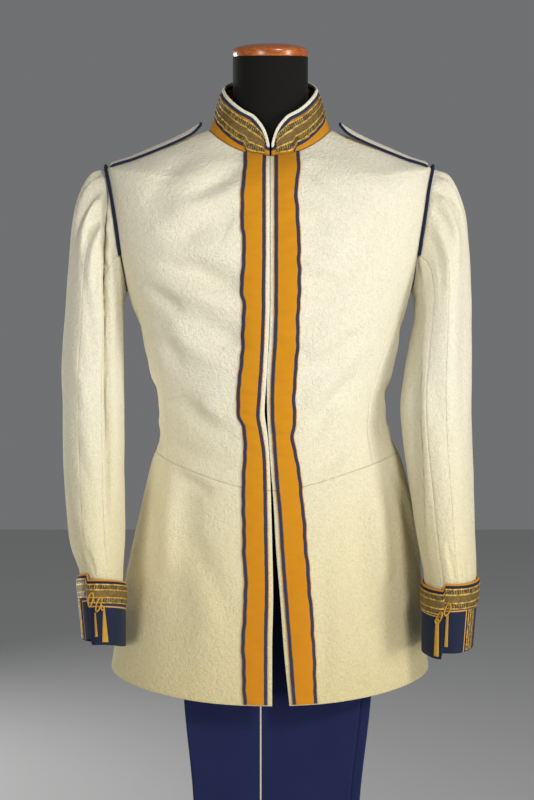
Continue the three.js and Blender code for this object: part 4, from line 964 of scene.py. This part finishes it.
kersey = new_material("kersey", CREAM, 0.95, paint_kersey, sheen=0.08, specular=0.1)
band_cloth = new_material("band", ORANGE, 0.85, paint_band, sheen=0.03, specular=0.1)
collar_cloth = new_material("collar", ORANGE, 0.85, paint_collar, sheen=0.03, specular=0.1)
lace = new_material("lace", (0.40, 0.26, 0.06), 0.5, paint_lace, specular=0.4, metallic=0.3)
cord = new_material("cord", (0.68, 0.39, 0.04), 0.5, paint_cord, sheen=0.05, specular=0.35)
cuff_cloth = new_material("cuff", CUFF_NAVY, 0.85, paint_cuff, sheen=0.05, specular=0.1)
navy = make_wool("navy broadcloth", NAVY)
piping_cloth = make_wool("navy piping", (0.012, 0.016, 0.045))
pale = make_wool("pale piping", (0.52, 0.46, 0.34), 0.1)
jersey = new_material("jersey", (0.0048, 0.0044, 0.0038), 0.85, paint_jersey, sheen=0.05, specular=0.15)
wood = new_material("wood", (0.42, 0.13, 0.03), 0.28, paint_wood, specular=0.5)
satin = new_material("satin black", (0.012, 0.012, 0.013), 0.32, paint_satin, specular=0.5)


# Panels of the tunic's body
def panel_grid(side, front, width):
    rise = spaced(SEAM_TOP - 1120)
    theta = np.linspace(SEAM_STATION, 180, 50)[1:]
    level = np.linspace(ARMHOLE_TOP, NECK_LEVEL, 36)[1:]
    level = np.concatenate([level[:-1], [NECK_LEVEL - 0.7, NECK_LEVEL]])
    zero = np.zeros_like
    levels = np.concatenate([zero(rise), armhole_level(theta), level])
    seam_top = waist_seam(np.array(0.0 if front else np.pi))
    rises = np.concatenate([rise, zero(theta), zero(level)])
    edge_level = np.where(levels > 0, levels, mix(seam_top, SEAM_TOP, rises))
    far = np.concatenate([
        side_seam_angle(side, rise, front),
        armhole_angle(side, theta if front else -theta),
        np.full(len(level), np.pi / 2),
    ])
    gap = SEAM_GAP / 2
    at_far = plain_body(side, far, np.where(levels > 0, levels, SEAM_TOP))
    far = far + (-1 if front else 1) * gap / np.hypot(*at_far[:, :2].T)
    near = front_edge_angle(side, edge_level) if front else np.full(len(far), np.pi)
    if not front:
        at_near = plain_body(side, near, edge_level)
        near = near - gap / np.hypot(*at_near[:, :2].T)
    shares = spaced(width)
    angle = mix(near[:, None], far[:, None], shares[None])
    levels, rises = levels[:, None], rises[:, None]
    z = np.where(levels > 0, levels, mix(waist_seam(angle) + gap, SEAM_TOP, rises))
    return angle, z


def build_panel(word, side, front):
    face = "front" if front else "back"
    angle, z = panel_grid(side, front, 185 if front else 150)
    name = f"{face}_panel_{word}"
    cloth_piece(name, f"tunic_{face}_{word}", body(side, angle, z), "draped", ["form_cover"])


def build_side(word, side):
    gap = SEAM_GAP / 2
    rise = spaced(SEAM_TOP - 1138)[:, None]
    theta = SEAM_STATION * (1 - 2 * spaced(120))[None]
    middle = plain_body(side, np.array(np.pi / 2), SEAM_TOP)
    reach = math.hypot(middle[0], middle[1])
    front_angle = side_seam_angle(side, rise, True) + gap / reach
    back_angle = side_seam_angle(side, rise, False) - gap / reach
    share = (SEAM_STATION - theta) / (2 * SEAM_STATION)
    even = mix(front_angle, back_angle, share)
    hollow = armhole_angle(side, theta) + np.sign(theta) * gap / reach
    angle = even + (hollow - even[-1:]) * smooth(0.6, 1, rise)
    z = mix(waist_seam(angle) + gap, armhole_level(theta), rise)
    name = f"side_panel_{word}"
    cloth_piece(name, f"tunic_side_{word}", body(side, angle, z), "draped", ["form_cover"])


def build_skirt(word, side):
    depth = spaced(265)[:, None]
    fronts, sides, backs = spaced(190), spaced(190, fine=False)[1:], spaced(100, fine=False)[1:]
    fronts, backs = fronts[:-3], np.concatenate([backs[:-1], [0.987, 0.996, 1]])
    fronts = np.concatenate([fronts, [1]])
    front_seam = float(side_seam_angle(side, 0, True))
    back_seam = float(side_seam_angle(side, 0, False))
    edge_level = mix(float(waist_seam(np.array(0.0))), HEM_LEVEL, depth)
    first = front_edge_angle(side, edge_level)
    angle = np.concatenate([
        mix(first, front_seam, fronts[None]),
        np.broadcast_to(mix(front_seam, back_seam, sides)[None], (len(depth), len(sides))),
        np.broadcast_to(mix(back_seam, math.pi - SEAM_GAP / 2 / 130, backs)[None], (len(depth), len(backs))),
    ], axis=1)
    z = mix(waist_seam(angle) - SEAM_GAP / 2, HEM_LEVEL, depth)
    panels = [f"{face}_panel_{word}" for face in ("front", "side", "back")]
    cloth_piece(f"skirt_{word}", f"tunic_skirt_{word}", body(side, angle, z), "hung", panels)


# Short puckers of the front bands: height, share across and how strongly they pinch
PUCKERS = {-1: numbers(3, """
1447 0.1 1.6, 1428 0.25 1.1, 1405 0.15 1.4, 1372 0.2 1.8, 1352 0.1 1.5, 1318 0.3 1, 1283 0.2 1.2,
1224 0.3 1.6, 1196 0.4 1.8, 1176 0.3 1.4, 1148 0.2 1, 1062 0.3 0.8
"""), 1: numbers(3, """
1478 0.8 1.2, 1452 0.9 1.4, 1419 0.85 1.5, 1399 0.8 1.7, 1366 0.9 1.2, 1330 0.8 1.1, 1292 0.9 1,
1240 0.8 1.3, 1206 0.7 1.4, 1170 0.9 1.8, 1140 0.8 1.2, 1075 0.8 0.8
""")}


def build_band(word, side):
    z = BAND_FOOT + spaced(722) * BAND_LENGTH
    z = np.unique(np.clip(z, HEM_LEVEL + 1.2, NECK_LEVEL - 1.2))[:, None]
    share = spaced(34, 1.7)[None]
    height = z - read(BODY, "front_drop", z)
    inner, outer = (read(BANDS, f"{word}_{edge}", height) for edge in ("inner", "outer"))
    wander = 0.5 * np.sin(height / 9.3 + side) + 0.4 * np.sin(height / 4.1 + 2 * side)
    x = mix(inner, outer, share) + wander * share * smooth(830, 860, z) * side * 0.8
    angle = angle_at_x(side, x, z)
    p = body(side, angle, np.broadcast_to(z, angle.shape))
    rise = np.zeros(angle.shape)
    for level, where, size in PUCKERS[side]:
        spot = bump(height - level, 6 * (share - 0.5), 4.2)
        rise -= size * spot * bump(share, 1 - where if side < 0 else where, 0.55)
        rise += 0.8 * size * bump(height - level, 9, 5) * bump(share, 0.5, 0.4)
    rise += 0.6 * np.sin(height / 5.7 + 1.3 * side + 2 * np.sin(height / 31)) * bump(share, 0.5, 0.35)
    rise += BAND_CROWN * bump(share, 0.5, 0.36)
    width = lengths(p, 1)
    edge = np.minimum(width, width[:, -1:] - width) * MM
    cloth_piece(f"band_{word}", f"front_band_{word}", p, "laid", [f"front_panel_{word}", f"skirt_{word}"],
                "band_orange", band_cloth, thickness=LACE, lift=LAID_ON, sink=0.6,
                extra=np.maximum(rise, -BAND_DEEPEST), attributes={"edge": edge})


# Sleeves
def sleeve_ring(side, theta, place):
    at = {column: read(SLEEVES[side], column, place) for column in SLEEVES[side]}
    turn = np.radians(theta)
    inner = np.cos(turn)
    deep = at["half_depth"] * np.sin(turn)
    tilt = WRIST_TILT[side] * smooth(TILT_FIRST, TILT_FULL, place)
    return vec(
        (at["outer_x"] + at["inner_x"]) / 2 + inner * (at["inner_x"] - at["outer_x"]) / 2,
        at["y"] - deep,
        (at["outer_z"] + at["inner_z"]) / 2 + inner * (at["inner_z"] - at["outer_z"]) / 2 + tilt * deep,
    )


def sleeve_centre(side, theta, place):
    return (sleeve_ring(side, 0 * theta, place) + sleeve_ring(side, 0 * theta + 180, place)) / 2


def armhole_point(side, theta):
    return body(side, armhole_angle(side, theta), armhole_level(np.abs(theta)))


def sleeve(side, theta, place):
    """theta from -180 to 180 with 0 at the armpit, place along the sleeve table."""
    theta, place = np.broadcast_arrays(np.asarray(theta, float), np.asarray(place, float))
    p = sleeve_ring(side, theta, place)
    hold = (1 - smooth(0, 1.4, place)) ** 1.5
    seat = armhole_point(side, theta[:1]) + np.array([side * SEAM_GAP * 1.6, 0, 0])
    p = p + (seat - sleeve_ring(side, theta[:1], 0.0 * place[:1])) * hold[..., None]
    radial = unit(p - sleeve_centre(side, theta, place))
    size = np.abs(theta)
    gathered = smooth(0, PLEAT_FULL, place) * (1 - smooth(PLEAT_FULL, PLEAT_END, place))
    in_pleats = smooth(PLEAT_FROM, PLEAT_FROM + 12, size)
    phase = np.where(theta < 0, 0.9 * smooth(0, 30, 180 - size), 0)
    pleats = np.cos((180 - size) / PLEAT_PITCH * 2 * np.pi + phase)
    past = theta - read(FOLD_LINES[side], "angle", place)
    slope = FOLD_SLOPE[side]
    lips = (2.2 * bump(past, 11, 8) + 1.4 * bump(past, -2.1 * slope, 14)) / 15
    trough = bump(past, 0, np.where(past > 0, FOLD_LIP, slope)) + 0.55 * bump(past, -2.2, 1.9)
    groove = (lips - trough) * read(FOLD_LINES[side], "depth", place)
    stitched = -STITCHED_DEPTH * bump(theta, MIDDLE_SEAM[side], 0.6) * smooth(1.2, 1.6, place)
    ends = smooth(0.15, 0.7, place) * (1 - smooth(10.0, 10.8, place))
    rows = SLEEVE_CREASES[side] * ([DEGREE_SIZE, PLACE_SIZE] * 3 + [1, 1])
    relief = crease_height(theta * DEGREE_SIZE, place * PLACE_SIZE, rows) * ends
    relief = relief + SLEEVE_WAVES * unevenness(p * 1.3) * ends
    fine = FINE_PLEATS * np.cos(theta / 4.6) * smooth(0.1, 0.5, place) * (1 - smooth(0.6, 1.7, place))
    total = (PLEAT_HEIGHT * gathered * pleats + fine) * in_pleats + groove + relief + stitched
    return p + radial * total[..., None]


def build_sleeve(word, side):
    steps = np.concatenate([np.linspace(0, 3, 44)[:-1], np.linspace(3, 11, 130), [0.02, 10.97]])
    steps = np.sort(steps)[:, None]
    seam = MIDDLE_SEAM[side]
    first = SLEEVE_SEAM + SLEEVE_APART
    top = mix(first, 360 - first, spaced(250))
    beside = seam + np.array([-1.6, -0.9, -0.45, 0, 0.45, 0.9, 1.6])
    top = np.sort(np.concatenate([top[np.abs(top - seam) > 2.2], beside]))
    under = mix(SLEEVE_APART - SLEEVE_SEAM, SLEEVE_SEAM - SLEEVE_APART, spaced(150))
    panels = [f"front_panel_{word}", f"back_panel_{word}"]
    for part, theta, held, rests_on in (("top", top, "gathered", panels),
                                        ("under", under, "hung", [f"side_panel_{word}"])):
        theta = theta[None]
        p = sleeve(side, np.where(theta > 180, theta - 360, theta), steps)
        cloth_piece(f"sleeve_{part}_piece_{word}", f"sleeve_{part}_{word}", p, held, rests_on,
                    centre=sleeve_centre(side, theta, steps))


# Navy piping round each armhole
def build_piping(word, side):
    theta = np.concatenate([np.linspace(68, 180, 70), np.linspace(-180, -68, 70)[1:]])
    size = np.abs(theta)
    turn = np.radians(theta)
    radial = vec(0 * theta, -np.sin(turn), -np.cos(turn))
    out = body_normal(side, armhole_angle(side, theta), np.minimum(armhole_level(size), ARMHOLE_TOP - 1))
    along = unit(radial - out * (radial * out).sum(-1, keepdims=True))
    away = unit(along * PIPING_ALONG + out * PIPING_OUT)
    path = armhole_point(side, theta) + away * (PIPING_RADIUS + PIPING_LIFT)
    mesh = tube(f"armhole_piping_{word}", path, PIPING_RADIUS, 12)
    show(f"piping_{word}", mesh, piping_cloth, [f"armhole_piping_{word}"])


# Cuffs
def cuff_point(side, theta, share):
    cuff = CUFFS[side]
    turn = np.radians(theta)
    at = {key: mix(*cuff[key], share) for key in ("outer_x", "inner_x", "z", "half_depth", "y")}
    middle = (at["outer_x"] + at["inner_x"]) / 2
    half = np.abs(at["outer_x"] - at["inner_x"]) / 2
    ahead = (theta > 0) & (theta < 180)
    step = smooth(-CUFF_STEP_HALF, CUFF_STEP_HALF, theta - cuff["step_angle"])
    in_step = np.where(ahead, 1 - step, 0)
    fade = bump(theta, cuff["step_angle"], 40)
    lower = np.where(ahead, in_step, smooth(-180, 0, theta))
    grow = 1 + in_step * CUFF_OVERLAP * fade / half
    deep = at["half_depth"] * np.sin(turn) * grow
    return vec(
        middle - side * half * np.cos(turn) * grow,
        at["y"] - deep,
        at["z"] - cuff["step_drop"] * (lower - 0.5) + WRIST_TILT[side] * deep,
    )


def cuff_centre(side, p):
    cuff = CUFFS[side]
    return vec((cuff["outer_x"][0] + cuff["inner_x"][0]) / 2, cuff["y"][0], p[..., 2])


def lace_relief(across):
    """Raised border lines of the lace and its sunk ladders."""
    borders = sum(bump(across, centre, 0.035) for centre in (0.035, 0.305, 0.695, 0.965))
    return 0.35 * borders + 0.15 * bump(across, 0.5, 0.14)


def build_cuff(word, side):
    step, fall = CUFFS[side]["step_angle"], CUFFS[side]["down_angle"]
    theta = np.linspace(-180, 180, 101)[:-1]
    beside_step = step + np.linspace(-3.5, 3.5, 13)
    theta = np.sort(np.concatenate([theta[np.abs(theta - step) > 4.2], beside_step]))[None]
    share = spaced(88, 2.6)[:, None]
    p = cuff_point(side, theta, share)
    ripple = 0.5 * np.sin(np.radians(theta) * 7 + 1) * smooth(0.5, 1, share)
    around = lengths(p, 1)
    low, high = (np.abs(theta[0] - fall - turn).argmin() for turn in (-CUFF_DOWN_HALF, CUFF_DOWN_HALF))
    beside = np.maximum(around[:, [low]] - around, around - around[:, [high]])
    attributes = {"down": lengths(p, 0) * MM, "beside": beside * MM}
    mesh = cloth_wall(f"cuff_{word}", p, cuff_centre(side, p), wrapped=True, extra=ripple,
                      attributes=attributes)
    obj = show(f"cuff_cloth_{word}", mesh, cuff_cloth, [f"cuff_{word}"])
    size = grid_size(p)
    p = cuff_point(side, theta, mix(CUFF_LACE_TOP, CUFF_LACE_BOTTOM, spaced(26, 1.3))[:, None])
    across = lengths(p, 0) / lengths(p, 0)[-1:]
    lace_piece(f"cuff_lace_band_{word}", f"cuff_lace_{word}", p, across, 1, [obj],
               centre=cuff_centre(side, p), wrapped=True)
    turn = mix(fall - CUFF_DOWN_HALF, fall + CUFF_DOWN_HALF, spaced(18, 1))[None]
    p = cuff_point(side, turn, mix(CUFF_LACE_BOTTOM + 0.01, CUFF_DOWN_BOTTOM, spaced(52))[:, None])
    across = lengths(p, 1) / lengths(p, 1)[:, -1:]
    lace_piece(f"cuff_lace_fall_{word}", f"cuff_lace_down_{word}", p, across, 0, [obj],
               centre=cuff_centre(side, p))
    going = [build_tail(word, side, *row[1:]) for row in CUFF_TAILS if row[0] == side]
    going += build_loops(word, side)
    declare(obj, *size, "folded", [f"sleeve_top_piece_{word}"], going)


def cuff_degree(side):
    cuff = CUFFS[side]
    half = abs(cuff["outer_x"][0] - cuff["inner_x"][0]) / 2
    return (cuff["half_depth"][0] + half) / 2 * math.pi / 180


def build_tail(word, side, name, angle, top, foot, narrow, wide):
    share = mix(top, foot, spaced(40, 1.6))[:, None]
    across = (spaced(8, 0.8) * 2 - 1)[None]
    half = mix(narrow, wide, (share - top) / (foot - top)) / 2
    p = cuff_point(side, angle + across * half / cuff_degree(side), share)
    extra = 0.25 * np.cos(across * np.pi * 3) + 0.2 * np.cos(across * np.pi / 2) + 0 * share
    attributes = {"along": lengths(p, 0) * MM, "around": across * 6 + 0 * share}
    mesh = cloth_wall(f"cuff_tail_{word}_{name}", p, cuff_centre(side, p), LACE, TAIL_LIFT, extra=extra,
                      attributes=attributes, sink=0.4)
    return show(f"tail_{word}_{name}", mesh, cord, [f"cuff_tail_{word}_{name}"])


# Cord loops by angle and share of the cuff height at their middle, with half width and height
CORD_RADIUS, CORD_LIFT, CORD_WEAVE = 1.05, 2.6, 0.7
LOOPS = {-1: numbers(5, """
91 0.37 4 9.5 -0.45, 109 0.3 4.2 9 -0.35, 83 0.43 2.4 3 0.3
"""), 1: numbers(5, """
64 0.4 3.6 8 0.45, 80 0.36 4.2 8 0.3, 60 0.44 2.4 3 0.3
""")}


def build_loops(word, side):
    made = []
    for k, (angle, share, half, tall, lean) in enumerate(LOOPS[side]):
        t = np.linspace(0, 2 * np.pi, 40, endpoint=False)
        top, foot = CUFFS[side]["z"]
        sideways = half * np.sin(t) + lean * tall * np.cos(t)
        p = cuff_point(side, angle + sideways / cuff_degree(side), share - tall * np.cos(t) / (top - foot))
        out = unit(p - cuff_centre(side, p))
        path = p + out * (CORD_LIFT + CORD_WEAVE * np.sin(2 * t))[:, None]
        mesh = tube(f"loop_{word}_{k}", path, CORD_RADIUS, looped=True)
        made.append(show(f"cord_loop_{word}_{k}", mesh, cord))
    return made


# Collar
def collar_point(angle, share):
    side = np.where(angle < 0, -1, 1)
    turn = np.abs(angle)
    left, right = (plain_body(each, turn, NECK_LEVEL + 0 * turn) for each in (-1, 1))
    foot = np.where((side < 0)[..., None], left, right) + np.array([0, 0, SEAM_GAP])
    across, ahead = np.sin(turn), np.cos(turn)
    depth = np.where(ahead > 0, COLLAR_FRONT, COLLAR_BACK)
    radius = 1 / np.hypot(across / COLLAR_HALF, ahead / depth)
    end_top = np.where(ahead > 0, COLLAR_FRONT_TOP, COLLAR_BACK_TOP)
    turned = np.where(ahead > 0, ahead * ahead, np.abs(ahead) ** COLLAR_BACK_POWER)
    top = vec(side * radius * across, -radius * ahead, mix(COLLAR_SIDE_TOP, end_top, turned))
    out = vec(side * across, -ahead, 0 * ahead)
    share = np.asarray(share)[..., None]
    p = foot + (top - foot) * share + out * COLLAR_BULGE * np.sin(np.pi * share)
    sway = 0.9 * np.sin(angle * 3.1 + 0.6) + 0.6 * np.sin(angle * 7.3 + 2)
    return p + out * (sway[..., None] * share * smooth(0.05, 0.5, turn)[..., None])


def collar_edge(angle):
    return read(COLLAR_CORNER, "share", np.degrees(np.abs(angle)))


def build_collar():
    half = np.concatenate([np.linspace(1.2, 14, 26), np.linspace(14, 180, 118)[1:]])
    angle = np.radians(np.concatenate([-half[:-1], [-180 + 1e-4], half[:-1][::-1]]))[None]
    level = spaced(54, 2.2)[:, None]
    share = level * collar_edge(angle)
    p = collar_point(np.broadcast_to(angle, share.shape), share)
    foot = lengths(p, 0)
    edge = foot[-1:] - foot
    for point in p[-1, ::2]:
        edge = np.minimum(edge, np.linalg.norm(p - point, axis=-1))
    below = (lace_shares(angle)[1] - share) * foot[-1:] / collar_edge(angle)
    before = np.degrees(np.abs(angle)) < COLLAR_LACE_TURN - 3
    below = np.where(before | (below < 0), NO_STRIPE, below)
    cloth_piece("collar_stand", "collar", p, "stretched", ["front_panel_left", "front_panel_right"],
                "band_orange", collar_cloth, attributes={"edge": edge * MM, "below": below * MM})


def lace_shares(angle):
    """Upper and lower border of the collar lace, which turns down to the foot at the front."""
    top = np.maximum(collar_edge(angle) - COLLAR_LACE_BELOW, COLLAR_LACE_FOOT + 0.05)
    turned = smooth(COLLAR_LACE_TURN - 3, COLLAR_LACE_TURN + 3, np.degrees(np.abs(angle)))
    return top, mix(COLLAR_LACE_FOOT, np.maximum(top - COLLAR_LACE_HEIGHT, COLLAR_LACE_FOOT), turned)


def build_collar_lace(word, side):
    degrees = np.concatenate([np.linspace(COLLAR_LACE_FIRST, 40, 44), np.linspace(40, 179.7, 104)[1:]])[None]
    angle = side * np.radians(degrees)
    top, bottom = lace_shares(angle)
    level = spaced(20, 1.1)[:, None]
    share = mix(bottom, top, level)
    p = collar_point(np.broadcast_to(angle, share.shape), share)
    across = 1 - np.broadcast_to(level, share.shape)
    lace_piece(f"collar_lace_band_{word}", f"collar_lace_{word}", p, across, 1, ["collar_stand"])


# Shoulder straps
def shoulder_level(side, x, y):
    low, high = (np.full(np.shape(x), float(level)) for level in (SHOULDER_LOW, NECK_LEVEL))
    for _ in range(30):
        level = (low + high) / 2
        half, front, back, square = ring(side, level)
        depth = np.where(y < 0, front, back)
        over = (np.abs(x) / half) ** square + (np.abs(y) / depth) ** square > 1
        high, low = np.where(over, level, high), np.where(over, low, level)
    return (low + high) / 2


def strap_point(side, along, across):
    outer = float(ring(side, np.array(float(ARMHOLE_TOP)))[0]) - STRAP["from_point"]
    length = outer - STRAP["inner"]
    past = np.maximum(0, along * length - (length - STRAP["tip"]))
    rounding = np.sqrt(np.maximum(1 - (past / STRAP["tip"]) ** 2, 0.12))
    x = side * mix(outer, STRAP["inner"], along)
    y = STRAP["back"] + across * mix(STRAP["outer_half"], STRAP["inner_half"], along) * rounding
    x, y = np.broadcast_arrays(x, y)
    level = shoulder_level(side, x, y)
    p = plain_body(side, np.arctan2(side * x, -y), level)
    return p + vec(0, 0, STRAP["lift"] + STRAP["tip_rise"] * along**4 + 0 * x)


def build_strap(word, side):
    along, across = spaced(112, 2.6)[:, None], (spaced(46, 2.2) * 2 - 1)[None]
    p = strap_point(side, along, across)
    up = unit(np.array([side * 0.3, 0, 0.95]))
    crown = 0.5 * np.cos(across * np.pi / 2) + 0 * along
    top = STRAP["thickness"] - edge_sink(p) + crown
    mesh = shell(f"shoulder_strap_{word}", p + up * top[..., None], p)
    obj = show(f"strap_{word}", mesh, kersey, [f"shoulder_strap_{word}"])
    run = np.linspace(0, 1, 46)
    front = strap_point(side, run[:, None], np.array([[-1.0]]))[:, 0]
    tip = strap_point(side, np.array([[1.0]]), np.linspace(-1, 1, 20)[None])[0][1:-1]
    back = strap_point(side, run[::-1][:, None], np.array([[1.0]]))[:, 0]
    path = np.concatenate([front, tip, back]) + up * EDGING_LIFT
    name = f"strap_edging_{word}"
    edging = show(name, tube(name, path, EDGING_RADIUS), piping_cloth)
    declare(obj, 0.048, 0.112, "laid", [f"front_panel_{word}", f"back_panel_{word}"], [edging])


# Trousers, hung flat by their folded waistband
def leg_slack(x, z):
    """Slight fullness of the near face of the folded legs."""
    return 1.2 * np.sin(z / 83 + x / 31) + 0.9 * np.sin(z / 47 - x / 23 + 1) + 0.6 * np.sin(x / 12 + z / 150)


def build_leg(name, x_shift, y_middle, crease_side, slack):
    z = mix(LEG_FOOT + 1, LEG_TOP, spaced(993, 7))[:, None]
    radius = LEG_THICKNESS / 2
    turns = np.radians(np.linspace(-90, 90, 15))
    shares = spaced(105, 5)
    flat, full = 0 * turns, np.ones(len(shares))
    face = np.concatenate([-full, flat, full])[None]
    run = np.concatenate([shares, flat, shares[::-1]])[None]
    turn = np.concatenate([0 * shares, turns, 0 * shares])[None]
    bend = face == 0
    crease = read(TROUSERS, WORD[crease_side], z) + x_shift
    seam = LEG_SEAM + x_shift + crease_side * SEAM_GAP / 2
    centre = crease - crease_side * radius
    keep = bend[0] | (run[0] < 1)

    def skin(inset):
        size = radius - inset
        x = np.where(bend, centre + crease_side * size * np.cos(turn), mix(seam, centre, run))
        y = np.where(bend, y_middle + size * np.sin(turn), y_middle + face * size + 0 * z)
        fade = np.where(face < 0, smooth(0, 0.12, run) * smooth(1, 0.7, run), 0) * smooth(LEG_TOP, 1030, z)
        y = y - slack * (1 + leg_slack(x, z)) * fade
        return vec(x, y, z + 0 * x)[:, keep]

    node = f"trousers_{name}"
    outer = skin(0)
    obj = show(name, shell(node, outer, skin(TROUSER_CLOTH), sharp=70), navy, [node])
    declare(obj, *grid_size(outer), "folded", ["waistband"])


def build_waistband():
    """Its layers show as rounded ridges on the two ends and along the top."""
    bottom = LEG_TOP + SEAM_GAP
    near = NEAR_LEG_Y - LEG_THICKNESS / 2
    far = near + 2 * LEG_THICKNESS + SEAM_GAP
    layer = (far - near) / WAISTBAND_LAYERS
    y = np.linspace(near, far, 33)
    notch = 1.9 * (1 - np.abs(np.sin(np.pi * (y - near) / layer)) ** 0.6)[None]
    x = mix(WAISTBAND_LEFT + notch, WAISTBAND_RIGHT - notch, spaced(196, 5)[:, None])
    mesh = shell("trousers_waistband", vec(x, y, WAISTBAND_TOP - notch), vec(x, y, bottom), sharp=60)
    obj = show("waistband", mesh, navy, ["trousers_waistband"])
    declare(obj, 0.205, 0.052, "folded", ["form_cover"])


def build_side_piping():
    z = mix(LEG_FOOT + 2, LEG_TOP - 1, spaced(990, 9))[:, None]
    across = np.linspace(-1, 1, 7)[None]
    face = NEAR_LEG_Y - LEG_THICKNESS / 2 - SEAM_GAP
    x = LEG_SEAM + SIDE_PIPING_HALF * across
    outer = vec(x, face - SIDE_PIPING_HALF * np.cos(across * 1.2), z)
    mesh = shell("trousers_side_piping", outer, vec(x, face, z), sharp=80)
    show("seam_piping", mesh, pale, ["trousers_side_piping"])


# Dress form
def build_form():
    z = np.sort(np.concatenate([np.linspace(958, 1663, 150), [959.5, 961.5, 1662, 1662.6]]))[:, None]
    turn = np.linspace(0, 2 * np.pi, 96, endpoint=False)[None]
    ahead = np.cos(turn)
    depth = np.where(ahead > 0, read(FORM, "front", z), read(FORM, "back", z))
    half = read(FORM, "half", z)
    square = FORM_SQUARE
    radius = ((np.abs(np.sin(turn)) / half) ** square + (np.abs(ahead) / depth) ** square) ** (-1 / square)
    rings = vec(radius * np.sin(turn), -radius * ahead + read(FORM, "shift", z), z)
    show("form_cover", joined_rings("form_torso", rings, 60), jersey, ["form_torso"])


def build_turned(name, profile, y, sides, material):
    """A turned piece of the form's stand from the radius and level of its rings."""
    turn = np.linspace(0, 2 * np.pi, sides, endpoint=False)[None]
    radius, z = np.array(profile, float).T[..., None]
    rings = vec(radius * np.sin(turn), y - radius * np.cos(turn), z)
    show(name, joined_rings(f"form_{name}", rings, 40), material, [f"form_{name}"])


def build_furniture():
    r, b, p = CAP_RADIUS, CAP_BOTTOM, POLE_RADIUS
    lip = [(r - 1.6, b), (r - 0.5, b + 0.5), (r, b + 1.6), (r, b + 7.4)]
    dome = [(r * math.cos(t), b + 8 + (CAP_HEIGHT - 8) * math.sin(t) ** 0.9)
            for t in np.radians([4, 12, 22, 34, 48, 62, 76, 88])]
    build_turned("cap", lip + dome, POLE_SHIFT, 72, wood)
    low, high = POLE_ENDS
    pole = [(p - 1, low), (p, low + 1), (p, high - 1), (p - 1, high)]
    build_turned("pole", pole, POLE_SHIFT, 48, satin)
    build_turned("foot", FOOT_PROFILE, 0, 96, satin)


build_form()
build_furniture()
for side, word in WORD.items():
    build_panel(word, side, True)
    build_panel(word, side, False)
    build_side(word, side)
    build_skirt(word, side)
    build_band(word, side)
    build_sleeve(word, side)
    build_piping(word, side)
    build_cuff(word, side)
    build_strap(word, side)
build_collar()
for side, word in WORD.items():
    build_collar_lace(word, side)
build_waistband()
far_leg_y = NEAR_LEG_Y + LEG_THICKNESS + SEAM_GAP
for layer, x_shift, y_middle, slack in (("near", 0, NEAR_LEG_Y, 0.9), ("far", FAR_LEG_SHIFT, far_leg_y, 0)):
    build_leg(f"{layer}_leg_front", x_shift, y_middle, -1, slack)
    build_leg(f"{layer}_leg_back", x_shift, y_middle, 1, slack)
build_side_piping()


# Floor, light and camera
def build_floor():
    mesh = bpy.data.meshes.new("floor")
    s, level = 6, -0.001
    mesh.from_pydata([(-s, -s, level), (s, -s, level), (s, s, level), (-s, s, level)], [], [(0, 1, 2, 3)])
    floor = bpy.data.objects.new("floor", mesh)
    bpy.context.collection.objects.link(floor)
    mesh.materials.append(new_material("floor", (0.62, 0.62, 0.61), 0.9))


def build_lamp(name, place, aim, size, power):
    data = bpy.data.lights.new(name, "AREA")
    data.shape = "RECTANGLE"
    data.size, data.size_y = size
    data.energy = power
    lamp = bpy.data.objects.new(name, data)
    lamp.location = place
    lamp.rotation_euler = (Vector(aim) - Vector(place)).to_track_quat("-Z", "Y").to_euler()
    bpy.context.collection.objects.link(lamp)


def build_light():
    world = bpy.data.worlds.new("world")
    bpy.context.scene.world = world
    world.use_nodes = True
    background = world.node_tree.nodes["Background"]
    background.inputs[0].default_value = (0.62, 0.63, 0.65, 1)
    background.inputs[1].default_value = 0.26
    build_lamp("key", (1.3, -2.7, 2.9), (0, 0, 1.05), (0.6, 0.6), 60)
    build_lamp("fill", (-1.7, -3.1, 1.0), (0, 0, 1.05), (0.8, 1.2), 40)
    build_lamp("rim", (2.6, -1.7, 1.2), (0, 0, 1.1), (0.7, 1.4), 46)
    build_lamp("back", (-2.3, 2.6, 1.0), (0, 0, 1.0), (1.2, 1.2), 55)


def build_camera():
    distance, tilt, aim, picture_height = 3.1, math.radians(6.5), 1.205, 1.08
    data = bpy.data.cameras.new("camera")
    data.sensor_width = 36
    data.lens = 36 * distance / picture_height
    data.clip_end = 30
    camera = bpy.data.objects.new("camera", data)
    camera.location = (-0.0045, -distance * math.cos(tilt), aim + distance * math.sin(tilt))
    camera.rotation_euler = (math.pi / 2 - tilt, 0, 0)
    bpy.context.collection.objects.link(camera)
    bpy.context.scene.camera = camera


build_floor()
build_light()
build_camera()
bpy.context.scene.view_settings.view_transform = "Standard"
